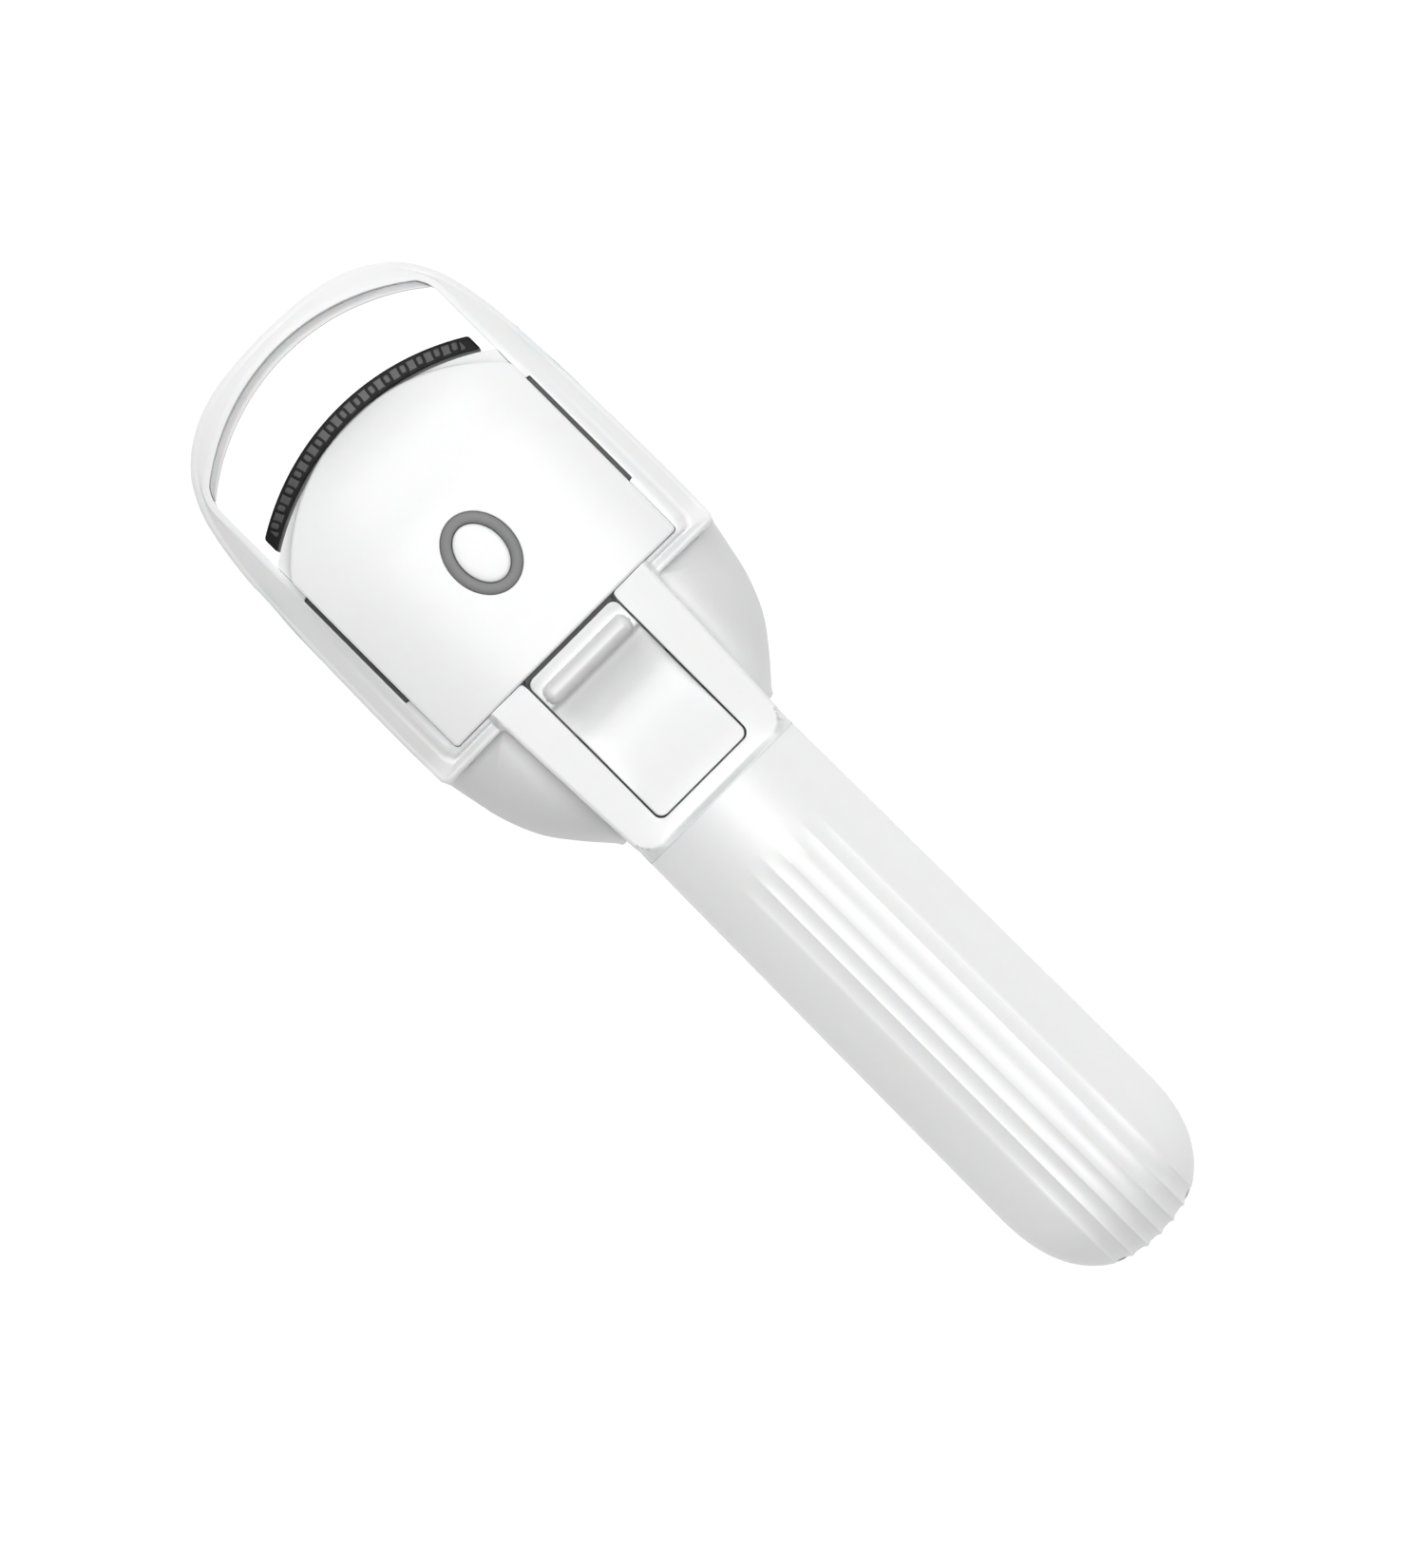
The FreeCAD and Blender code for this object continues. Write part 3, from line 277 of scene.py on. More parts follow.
HEAD_SIDE = [(0, 66.5), (6, 66.12), (10.2, 65.15), (13.2, 63.65), (15.5, 61.75), (17.05, 59.45), (18.2, 56.6),
             (19.1, 51.8), (19.6, 45.7), (19.88, 36), (20.0, 26), (19.9, 20.9)]
FRAME_COUNTS = (110, 190, 90, 70, 60)
WINDOW_HALF = 16.14
NOTCH_LOW = 28.5
NOTCH_HIGH = 43.6
SLOT_HALF = 6.58
TONGUE_FOOT = -1.4


def frame_outside():
    """Right-hand outside of the frame: brow, side, shoulder, tongue, tongue end."""
    brow, side = cut_at(spline(HEAD_SIDE, 600), 61.0)
    side = np.concatenate([side, arc((19.0, 20.35), 0.88, 5, -45, 6)])
    shoulder = np.concatenate([arc((19.0, 20.35), 0.95, -45, -90, 6), [(12.0, SHOULDER)],
                               arc((11.85, 18.75), 0.65, 90, 178, 8)])
    tongue = [(11.2, 18.7), (10.35, -1.25)]
    end = np.concatenate([arc((10.2, -1.25), 0.15, 0, -90, 5), [(0, TONGUE_FOOT)]])
    return segments([brow, side, shoulder, tongue, end], FRAME_COUNTS)


def frame_inside(notch):
    """Right-hand edge of the window and the thumb slot, station for station with the outside."""
    brow = arc((0, ARCH_MIDDLE), ARCH_RADIUS, 90, 52.3, 60)
    out = WINDOW_HALF + notch
    bend = spline([(ARCH_HALF, 59.05), (15.85, 58.0), (16.11, 56.8), (WINDOW_HALF, 55.4)], 20)
    rail = [(WINDOW_HALF, NOTCH_HIGH + 0.1), (out, NOTCH_HIGH), (out, NOTCH_LOW),
            (WINDOW_HALF, NOTCH_LOW - 0.1), (WINDOW_HALF, 21.8)]
    side = np.concatenate([bend, rail])
    window_corner = arc((15.69, 21.8), 0.45, 0, -90, 6)
    slot_corner = arc((7.05, 20.93), 0.42, 90, 180, 6)
    shoulder = np.concatenate([window_corner, [(7.2, 21.35)], slot_corner])
    slot = [(SLOT_HALF, 20.7), (SLOT_HALF, 2.0)]
    end = np.concatenate([arc((SLOT_HALF - 1.0, 2.0), 1.0, 0, -90, 10), [(0, 1.0)]])
    return segments([brow, side, shoulder, slot, end], FRAME_COUNTS)


def handle_round(x):
    """Height of the handle's round top just below the tongue."""
    return CORE + np.sqrt(np.maximum(10.42 ** 2 - x ** 2, 0.8))


def frame_face(x, y, across):
    """Height of the frame's front face. across runs from 0 at the window to 1 at the outside."""
    lip, ridge = 0.12, 0.55
    trough = np.sin(np.pi * np.clip((across - lip) / (ridge - lip), 0, 1)) ** 2
    depth = 0.3 * (1 - ease(y, 24, 48))
    fall = 0.7 + 1.9 * (1 - ease(y, 44, 62)) * ease(y, 19.5, 23.0)
    ring = crown(x, y) - depth * trough - fall * across ** 1.15
    flat = 16.0 + (y - 1.0) * 2.0 / 19.0
    corner = 1.6 - np.sqrt(np.maximum(1.6 ** 2 - np.clip(np.abs(x) - 8.5, 0, 1.6) ** 2, 0))
    rise = ease(corner - 0.75 - y, -0.25, 0.6)
    tongue = flat * (1 - rise) + handle_round(x) * rise
    on_tongue = (1 - ease(np.abs(x), 11.0, 11.7)) * (1 - ease(y, 22.0, 24.0))
    return ring * (1 - on_tongue) + tongue * on_tongue


def edge_rows(loop, distance, inwards, across, count):
    """Rows down a rounded edge of the frame, from its face to its wall."""
    rows = []
    for shift, drop in fillet_steps(count)[::-1]:
        line = inset(loop, inwards * distance * shift)
        face = frame_face(line[:, 0], line[:, 1], np.full(len(line), across))
        rows.append(at_height(line, face - distance * drop))
    return rows


def face_rows(start, end, shares, across):
    """Rows of the frame's face between two lines. across says how far out each row lies."""
    rows = []
    for share, far in zip(shares, across):
        line = end + (start - end) * share
        rows.append(at_height(line, frame_face(line[:, 0], line[:, 1], np.full(len(line), far))))
    return rows


def head_frame():
    """The front moulding: arch, rails, shoulder and tongue, as one closed skin round the window."""
    outside = both_halves(frame_outside())
    plain = both_halves(frame_inside(0.0))
    inside = both_halves(frame_inside(0.5))
    tongue = 1 - ease(outside[:, 1], 18.0, 19.3)
    deep = ease(outside[:, 1], BRIDGE, BRIDGE + 0.5)
    base = (CORE + SEAM) * (1 - deep) + hollow(outside[:, 0]) * deep
    outer_edge = 0.55 + 0.25 * ease(outside[:, 1], 50, 60) - 0.1 * tongue
    outer_edge *= 1 - 0.97 * ease(-outside[:, 1], 0.2, 1.1)
    inner_edge = 0.13
    outer_line = inset(outside, outer_edge)
    lip_line = inset(plain, -0.3 - 0.42 * ease(plain[:, 1], 21.8, 22.6))
    edge_line = inset(inside, -inner_edge)
    shares = np.linspace(1, 0, 26)[1:]
    rows = [at_height(outside, base), at_height(outside, base + 0.3)]
    rows += edge_rows(outside, outer_edge, 1, 1.0, 7)[::-1]
    rows += face_rows(outer_line, lip_line, shares, shares)
    rows += face_rows(lip_line, edge_line, (0.5, 0.0), (0.0, 0.0))
    rows += edge_rows(inside, inner_edge, -1, 0.0, 5)[1:]
    rows += frame_under(outside, inside, base, tongue)
    solid = Solid()
    solid.grid(rows, wrap_rows=True)
    piece = solid.piece("head_frame_moulding", "housing", "front_frame")
    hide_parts("head_frame")
    return piece


def frame_under(outside, inside, base, tongue):
    """Rows of the frame's hidden side: window wall, ceiling and outer wall."""
    slot_face = frame_face(inside[:, 0], inside[:, 1], np.zeros(len(inside)))
    ceiling = np.minimum(slot_face - 1.5, 14.75) * tongue + (base + 0.3) * (1 - tongue)
    open_side = ease(inside[:, 1], 45.0, 48.0) * (1 - ease(inside[:, 1], 57.0, 59.0))
    wall = inset(outside, 1.5 * tongue + 0.6 * (1 - tongue))
    lip = inset(inside, -0.3 * open_side)
    return [at_height(lip, ceiling), at_height(wall, ceiling), at_height(wall, base)]


# ---------------------------------------------------------------- rear cover

COVER_COUNTS = (60, 120, 24, 110, 40)
COVER_MIDDLE = np.array([0, 24.0])
COVER_UNDER_ROUND = 3.4
WING_RIM = 5.2        # height at which the wings begin to curve inwards
NECK_LOW = 2.05


def cover_outline():
    """Right-hand outside of the rear cover: top, side, step to the wing, wing, neck."""
    side = spline([(19.4, 47.6), (19.6, 45.7), (19.88, 36), (20.0, 26), (19.8, 20.0)], 200)
    wing_points = [(19.6, 19.36), (19.05, 16.6), (18.2, 12.95), (16.55, 9.0), (14.2, 5.75), (11.6, 2.75)]
    wing = spline(wing_points, 200)
    top = np.concatenate([[(0, BRIDGE - 0.05)], arc((18.85, 47.6), 0.55, 90, 0, 6)])
    return [top, side, [(19.8, 20.0), (19.6, 19.36)], wing, [(11.6, 2.75), (11.2, 2.1), (0, NECK_LOW)]]


def cover_crest():
    """Right-hand top edge of the rear cover, where its wings meet the frame and the tongue."""
    return [
        [(0, 47.2), (17.9, 47.2)],
        [(17.9, 47.2), (17.9, 20.0)],
        [(17.9, 20.0), (17.9, 19.45)],
        [(17.9, 19.45), (11.12, 19.45), (10.38, 2.75)],
        [(10.38, 2.75), (10.3, 2.3), (0, 2.3)],
    ]


def cover_mouth():
    """Right-hand edge of the rear cover's hollow."""
    return [
        [(0, 46.35), (16.0, 46.35)],
        [(16.0, 46.35), (16.0, 21.6)],
        [(16.0, 21.6), (15.0, 19.0)],
        [(15.0, 19.0), (9.6, 18.6), (8.95, 3.6)],
        [(8.95, 3.6), (8.85, 3.4), (0, 3.4)],
    ]


def cover_under_rows(outline):
    """Rows of the flat back and the round that leads up from it."""
    share = 0.17 * (0.06 + 0.94 * ease(outline[:, 1], 2.2, 7.0))
    flat = outline + (COVER_MIDDLE - outline) * share[:, None]
    rows = [at_height(COVER_MIDDLE + (flat - COVER_MIDDLE) * part, BACK) for part in (0.04, 0.3, 0.6, 0.85)]
    for shift, drop in fillet_steps(12)[::-1]:
        rows.append(at_height(outline + (flat - outline) * shift, BACK + COVER_UNDER_ROUND * drop))
    return rows


def cover_wall_rows(outline, crest):
    """Rows of the wall and of the wings' bulge, from the round up to the crest."""
    wing = 1 - ease(outline[:, 1], 19.3, 20.0)
    at_neck = ease(outline[:, 1], 2.0, 2.6)
    low = WING_RIM * wing + CORE * (1 - wing)
    inwards = np.clip((17.9 - np.abs(crest[:, 0])) / 6.6, 0, 1)
    rise = 0.5 + 4.9 * inwards - 3.2 * ease(19.45 - crest[:, 1], 0, 16.7)
    high = CORE + rise * wing * at_neck
    rows = [at_height(outline, np.maximum(low - 0.3, COVER_UNDER_ROUND + 0.2))]
    for turn in np.linspace(0, math.pi / 2, 18):
        reach = (1 - math.cos(turn)) * 0.55 + 0.45 * turn / (math.pi / 2)
        line = outline + (crest - outline) * reach
        rows.append(at_height(line, low + (high - low) * math.sin(turn)))
    return rows


def head_rear_cover():
    """The bowl and wings behind the head, hollow behind the frame."""
    lines = (cover_outline(), cover_crest(), cover_mouth())
    outline, crest, mouth = [both_halves(segments(line, COVER_COUNTS)) for line in lines]
    rows = cover_under_rows(outline) + cover_wall_rows(outline, crest)
    rows.append(at_height(crest + (mouth - crest) * 0.03, np.full(len(crest), CORE - 0.02)))
    rows.append(at_height(mouth, np.full(len(mouth), CORE - 0.02)))
    rows.append(at_height(mouth, np.full(len(mouth), 1.85)))
    rows.append(at_height(COVER_MIDDLE + (mouth - COVER_MIDDLE) * 0.05, 1.82))
    solid = Solid()
    start = solid.grid(rows)
    size = len(outline)
    solid.cap(start, size, flip=True)
    solid.cap(start + (len(rows) - 1) * size, size)
    piece = solid.piece("head_rear_moulding", "housing", "rear_cover")
    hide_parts("head_rear_cover")
    return piece


# ---------------------------------------------------------------- handle

HANDLE_NECK = 10.42
HANDLE_END = 10.85
DOME_START = -53.5
DOME_LENGTH = 13.0
DOME_PLAN = 2.35       # how square the dome is, seen from the front
DOME_SIDE = 2.8        # and from the side
FLUTE_PITCH = 1.88
FLUTE_DEPTH = 0.34
WALL = 1.6
PORT_FLAT = 2.95
PORT_RADIUS = 1.72


def handle_radius(y):
    """The handle swells gently from its neck to its dome."""
    return HANDLE_NECK + (HANDLE_END - HANDLE_NECK) * np.clip((-y + 1) / 52.5, 0, 1) ** 0.75


def across_stations():
    """Shares of the radius across the handle: twelve to a flute, then ever closer towards the sides."""
    fluted = np.arange(0, 37) * FLUTE_PITCH / 12 / HANDLE_END
    start = math.asin(fluted[-1])
    plain = np.sin(np.linspace(start, math.pi / 2, 34)[1:])
    half = np.concatenate([fluted, plain])
    return np.concatenate([-half[:0:-1], half])


def flute_groove(x):
    """Depth of the flutes at a distance across the dome's start."""
    if abs(x) >= 3 * FLUTE_PITCH:
        return 0.0
    phase = (abs(x) / FLUTE_PITCH) % 1.0
    return FLUTE_DEPTH * (1 - (2 * phase - 1) ** 2)


def handle_slice(share, top, shrink, groove):
    """One slice of a half handle along Y, from its neck round the dome: distance across, along and up."""
    y = np.concatenate([np.linspace(top, top - 3.2, 10), np.linspace(top - 3.2, -15.5, 60)[1:],
                        np.linspace(-15.5, DOME_START, 46)[1:]])
    radius = handle_radius(y)
    narrowing = math.sqrt(max(1 - share * share, 0.0))
    faded = groove * ease(-y, 8.0, 13.0) * (0.55 + 0.45 * ease(-y, 46, 58))
    x = share * (radius - shrink)
    z = np.maximum(radius * narrowing - shrink * narrowing - faded, 0)
    opening = port_half_height(x[-1])
    rise = max(z[-1], 1e-6)
    last = math.acos((opening / rise) ** (DOME_SIDE / 2)) if opening < rise else 0.0
    turn = np.linspace(0, last, 34)[1:]
    length = (DOME_LENGTH - shrink) * max(1 - abs(share) ** DOME_PLAN, 0) ** (1 / DOME_PLAN) - groove
    dome_y = DOME_START - max(length, 0) * np.sin(turn) ** (2 / DOME_SIDE)
    dome_z = rise * np.cos(turn) ** (2 / DOME_SIDE)
    across = np.concatenate([x, np.full(len(turn), x[-1])])
    return np.stack([across, np.concatenate([y, dome_y]), np.concatenate([z, dome_z])], axis=1)


def half_shell(top, front):
    """Slices of one half of the handle, outside then inside."""
    sign = 1.0 if front else -1.0
    shift = SEAM / 2 if front else -SEAM / 2
    skins = []
    for shrink, lowest in ((0.0, BACK), (WALL, WALL)):
        slices = []
        for share in across_stations():
            groove = flute_groove(share * HANDLE_END) if front and shrink == 0.0 else 0.0
            slices.append(handle_slice(share, top, shrink, groove))
        skin = np.array(slices)
        height = CORE + sign * skin[..., 2]
        height = height if front else np.maximum(height, lowest)
        skin[..., 2] = np.maximum(height, CORE + shift) if front else np.minimum(height, CORE + shift)
        skins.append(skin)
    return skins


def port_half_height(x):
    """Half the height of the charging socket's opening at a distance across."""
    beyond = max(abs(x) - PORT_FLAT, 0.0)
    return math.sqrt(max(PORT_RADIUS ** 2 - beyond ** 2, 0.0)) if beyond < PORT_RADIUS else 0.0


def handle_shell(name, node, top, front, slot):
    """One half of the handle, with its wall and its share of the charging socket's opening."""
    outside, inside = half_shell(top, front)
    solid = Solid()
    first = solid.grid(outside, wrap_loop=False, flip=not front)
    second = solid.grid(inside, wrap_loop=False, flip=front)
    solid.walls(shell_rim(*outside.shape[:2]), first, second)
    piece = solid.piece(name, "housing", slot, crease=33.0)
    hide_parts(node)
    return piece


def shell_rim(count, size):
    """Point numbers round a half shell: first side, dome end, last side, neck end."""
    first_side = list(range(size))
    dome_end = [i * size + size - 1 for i in range(1, count)]
    last_side = [(count - 1) * size + j for j in range(size - 2, -1, -1)]
    neck_end = [i * size for i in range(count - 2, 0, -1)]
    return first_side + dome_end + last_side + neck_end


# ---------------------------------------------------------------- arch pad

PAD_RADIUS = 25.3
PAD_TOP = 63.04       # middle of the pad's free edge
PAD_DEPTH = 1.15


def pad_low(x):
    """Free edge of the pad."""
    return PAD_TOP - PAD_RADIUS + np.sqrt(PAD_RADIUS ** 2 - x ** 2)


def pad_high(x):
    """Edge of the pad that meets the arch, running off straight beyond the arch's ends."""
    reach = np.abs(x)
    arch = ARCH_MIDDLE + np.sqrt(ARCH_RADIUS ** 2 - np.minimum(reach, ARCH_HALF) ** 2)
    return arch - 0.03 - np.maximum(reach - ARCH_HALF, 0) * 1.9


def arch_pad():
    """The silicone pad under the arch, set back from the front and hollowed like the arch behind it."""
    def place(across, along):
        """Lay the pad's rectangle along the arch."""
        return across, pad_low(across) + along / PAD_DEPTH * (pad_high(across) - pad_low(across))

    def face(x, y):
        """Front of the pad, set back most at the arch."""
        depth = np.clip((pad_high(x) - y) / (pad_high(x) - pad_low(x)), 0, 1)
        return crown(x, y) - 1.45 + 0.85 * ease(depth, 0.0, 0.8) + 0.55 * ease(np.abs(x), 7.0, 14.5)

    def back(x, y):
        """Underside of the pad, just clear of the hollow."""
        return hollow(x) + 0.6

    def draft(x, y):
        """Move the underside back from the free edge."""
        return x, y + 0.75 * (pad_high(x) - y) / (pad_high(x) - pad_low(x))

    solid = Solid()
    slab(solid, 31.7, PAD_DEPTH, place, face, back, edge=0.14, corner=0.2, counts=(90, 14), draft=draft)
    piece = solid.piece("arch_pad_silicone", "housing", "pad")
    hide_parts("arch_pad")
    return piece


# ---------------------------------------------------------------- carriage

PANEL_HALF = 16.1
PANEL_LOW = 21.4
PANEL_TOP = 19.6      # height of the panel's face where it is highest
BROW_RADIUS = 24.6
PANEL_BASE = 12.95
PANEL_WALL = 1.6
PANEL_EDGE = 0.3
HOLE_GAP = 0.04       # between the light ring and the panel's hole
HOLE_EDGE = 0.12
BUTTON = np.array([0.0, 33.8])
RING_OUT = np.array([3.83, 4.72])
RING_IN = np.array([2.62, 3.54])
CAP = np.array([2.54, 3.46])


def panel_face(x, y):
    """Front of the panel: crowned across, bent back towards the brow, easing down near the thumb."""
    bend = np.clip(y - 37.5, 0, 16.2)
    brow = BROW_RADIUS - np.sqrt(BROW_RADIUS ** 2 - bend ** 2)
    toe = np.clip(36.0 - y, 0, None) ** 2 / 330
    across = 2.3 * (np.abs(x) / PANEL_HALF) ** 2.7
    return PANEL_TOP - across - brow - toe


def panel_outline():
    """Edge of the panel: bowed brow, rounded corners, straight sides and foot."""
    right = [
        arc((0, 32.85), 20.65, 90, 39.8, 60),
        arc((15.1, 45.42), 1.0, 39.8, 0, 10),
        [(PANEL_HALF, 45.42), (PANEL_HALF, PANEL_LOW + 0.5)],
        arc((PANEL_HALF - 0.5, PANEL_LOW + 0.5), 0.5, 0, -90, 8),
        [(15.5, PANEL_LOW), (0, PANEL_LOW)],
    ]
    return both_halves(segments(right, (130, 9, 130, 7, 100)))


def oval_towards(loop, radii):
    """Points of an oval round the button, each facing one point of a loop."""
    turn = np.arctan2((loop[:, 1] - BUTTON[1]) / radii[1], (loop[:, 0] - BUTTON[0]) / radii[0])
    return BUTTON + np.stack([radii[0] * np.cos(turn), radii[1] * np.sin(turn)], axis=1)


def on_panel(line, lift):
    """Give a flat line the panel's height, raised by lift."""
    return at_height(line, panel_face(line[:, 0], line[:, 1]) + lift)


def panel_cover():
    """The crowned front panel, open below, with the oval hole for the light ring."""
    outline = panel_outline()
    rows = [at_height(outline, PANEL_BASE)]
    for shift, drop in fillet_steps(9):
        rows.append(on_panel(inset(outline, PANEL_EDGE * shift), -PANEL_EDGE * drop))
    outer = inset(outline, PANEL_EDGE)
    inner = oval_towards(outline, RING_OUT + HOLE_GAP + HOLE_EDGE)
    for share in np.linspace(1, 0, 46)[1:]:
        rows.append(on_panel(inner + (outer - inner) * share, 0))
    for shift, drop in fillet_steps(4)[::-1][1:]:
        line = oval_towards(outline, RING_OUT + HOLE_GAP + HOLE_EDGE * shift)
        rows.append(on_panel(line, -HOLE_EDGE * drop))
    hole = oval_towards(outline, RING_OUT + HOLE_GAP)
    roof = inset(outline, 1.3)
    for share in np.linspace(0, 1, 12):
        rows.append(on_panel(hole + (roof - hole) * share, -PANEL_WALL))
    rows.append(at_height(roof, PANEL_BASE))
    solid = Solid()
    solid.grid(rows, wrap_rows=True)
    piece = solid.piece("front_panel_moulding", "carriage", "panel")
    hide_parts("panel_cover")
    return piece


RING_FOOT = 17.6      # height of the ring's hidden lower edge
RING_PROFILE = [(1, -0.12), (0.965, -0.02), (0.9, 0.03), (0.5, 0.05), (0.1, 0.03), (0.035, -0.02), (0, -0.12)]


def light_ring():
    """The grey oval ring round the button, flush with the panel."""
    loop = arc(BUTTON, 1.0, 0, 360, 161)[:-1]
    rows = [at_height(oval_towards(loop, RING_OUT), RING_FOOT)]
    for across, lift in RING_PROFILE:
        rows.append(on_panel(oval_towards(loop, RING_IN + (RING_OUT - RING_IN) * across), lift))
    rows.append(at_height(oval_towards(loop, RING_IN), RING_FOOT))
    solid = Solid()
    solid.grid(rows, wrap_rows=True)
    piece = solid.piece("oval_light_ring", "carriage", "ring")
    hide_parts("light_ring")
    return piece


CAP_FLANGE = [(1.22, 16.6), (1.22, 17.25), (1.0, 17.3)]
CAP_FACE = [(1.0, -0.25), (0.985, -0.12), (0.95, -0.03), (0.88, 0.02), (0.7, 0.05), (0.4, 0.07), (0.08, 0.08)]


def power_button():
    """The oval button cap, with the flange that holds it behind the panel."""
    loop = arc(BUTTON, 1.0, 0, 360, 121)[:-1]
    rows = [at_height(oval_towards(loop, CAP * radius), height) for radius, height in CAP_FLANGE]
    for radius, lift in CAP_FACE:
        rows.append(on_panel(oval_towards(loop, CAP * radius), lift))
    solid = Solid()
    start = solid.grid(rows)
    solid.cap(start, len(loop), flip=True)
    solid.cap(start + (len(rows) - 1) * len(loop), len(loop))
    piece = solid.piece("power_button_cap", "button", "button")
    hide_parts("power_button")
    return piece


STRIP_HALF = 15.03
STRIP_RADIUS = 28.9
STRIP_DEPTH = 1.84
STRIP_MIDDLE = 53.47 - STRIP_RADIUS      # centre of the strip's bow
CELLS = 15
CELL_PITCH = 1.9


def strip_low(x):
    """Lower edge of the heater strip."""
    return STRIP_MIDDLE + np.sqrt(STRIP_RADIUS ** 2 - x ** 2)


def strip_cell(solid, turn, width, depth, proud, corner):
    """One small raised block on the strip, turned with the strip's bow."""
    def place(across, along):
        """Lay the cell's rectangle across the strip."""
        reach = STRIP_RADIUS + (STRIP_DEPTH - depth) / 2 + along
        return (reach * math.sin(turn) + across * math.cos(turn),
                STRIP_MIDDLE + reach * math.cos(turn) - across * math.sin(turn))

    def face(x, y):
        """Top of the cell."""
        return crown(x, y) - 0.75 + proud

    def back(x, y):
        """Foot of the cell, inside the strip."""
        return crown(x, y) - 1.8

    slab(solid, width, depth, place, face, back, edge=0.09, corner=corner, counts=(8, 8))


def heater_strip():
    """A bowed black bar with a lighter track and fifteen small raised cells along it."""
    solid = Solid()
    slab(solid, 2 * STRIP_HALF, STRIP_DEPTH, lambda across, along: (across, strip_low(across) + along),
         lambda x, y: crown(x, y) - 0.75, lambda x, y: hollow(x) + 1.2,
         edge=0.2, corner=0.25, counts=(150, 12))
    turns = [(index - CELLS // 2) * (CELL_PITCH / STRIP_RADIUS) for index in range(CELLS)]
    for turn in turns:
        strip_cell(solid, turn, 1.16, 1.4, 0.15, 0.4)
    solid.second_finish()
    for turn in turns:
        strip_cell(solid, turn, 0.62, 0.86, 0.2, 0.22)
    slab(solid, 28.0, 1.1, lambda across, along: (across, strip_low(across) + 0.38 + along),
         lambda x, y: crown(x, y) - 0.69, lambda x, y: crown(x, y) - 1.6,
         edge=0.05, corner=0.3, counts=(120, 8))
    piece = solid.piece("heater_comb", "carriage", "comb")
    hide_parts("heater_strip")
    return piece


THUMB_PROFILE = [
    (1.15, 16.9), (3.0, 16.6), (6.0, 15.75), (8.5, 15.1), (10.5, 14.85), (12.5, 15.0), (14.5, 15.6),
    (16.2, 16.35), (16.85, 16.6), (17.05, 17.0), (17.2, 17.6), (17.6, 17.9), (19.4, 17.8), (20.9, 18.2),
]


def thumb_slider():
    """The thumb piece: a hollowed slope that ends in a rounded bar, with a shelf behind it, and a near-black
    flange beneath that is painted shade for the shadow in the slot round it.
    """
    profile = spline(THUMB_PROFILE, 600)
    solid = Solid()

    def top(x, y):
        """Height of the slope, with the rounded bar across its end."""
        height = np.interp(y, profile[:, 0], profile[:, 1])
        beside = np.clip((np.abs(x) - 5.0) / 0.95, 0, 1)
        bar = np.clip(1 - ((y - 18.25) / 1.2) ** 2 - beside ** 2, 0, 1) ** 0.5
        return height + 2.1 * bar

    slab(solid, 12.74, 19.75, lambda across, along: (across, 1.15 + along), top, lambda x, y: 12.95 + 0 * x,
         edge=0.18, corner=0.95, counts=(70, 190))
    # the flange below takes the second, near-black finish: painted shade for the deep shadow in the slot
    # round the thumb piece
    solid.second_finish()
    slab(solid, 14.4, 20.9, lambda across, along: (across, -7.5 + along), lambda x, y: 14.1 + 0 * x,
         lambda x, y: 12.95 + 0 * x, edge=0.2, corner=0.6, counts=(16, 20))
    piece = solid.piece("thumb_slider_moulding", "carriage", "slider")
    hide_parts("thumb_slider")
    return piece


def guide_strips():
    """Dark strips in the notches beside the panel, where the carriage's ears run: painted shade for the
    shadow down the guide slots.
    """
    solid = Solid()
    for side in (-1, 1):
        slab(solid, 0.46, 15.0, lambda across, along, side=side: (side * 16.4 + across, 28.55 + along),
             lambda x, y: crown(x, y) - 0.4, lambda x, y: np.maximum(crown(x, y) - 1.5, 13.0), edge=0.05,
             corner=0.1, counts=(4, 30))
    return solid.piece("painted_shade_guide_strips", "housing", "frame")


def thumb_gap_shade():
    """Dark strip across the gap between the panel and the thumb piece: painted shade for the shadow in that
    gap.
    """
    solid = Solid()
    slab(solid, 12.6, 0.6, lambda across, along: (across, 20.86 + along), lambda x, y: 17.4 + 0 * x,
         lambda x, y: 16.2 + 0 * x, edge=0.06, corner=0.1, counts=(20, 4))
    return solid.piece("painted_shade_thumb_gap", "carriage", "frame")


# ---------------------------------------------------------------- finishes

def noise(tree, coordinates, scale, detail, stretch=(1, 1, 1)):
    """Noise in object space, in repeats per metre, drawn out along an axis where stretch is small."""
    mapping = tree.nodes.new("ShaderNodeMapping")
    mapping.inputs["Scale"].default_value = stretch
    tree.links.new(coordinates, mapping.inputs["Vector"])
    pattern = tree.nodes.new("ShaderNodeTexNoise")
    pattern.inputs["Scale"].default_value = scale
    pattern.inputs["Detail"].default_value = detail
    tree.links.new(mapping.outputs["Vector"], pattern.inputs["Vector"])
    return pattern.outputs["Fac"]


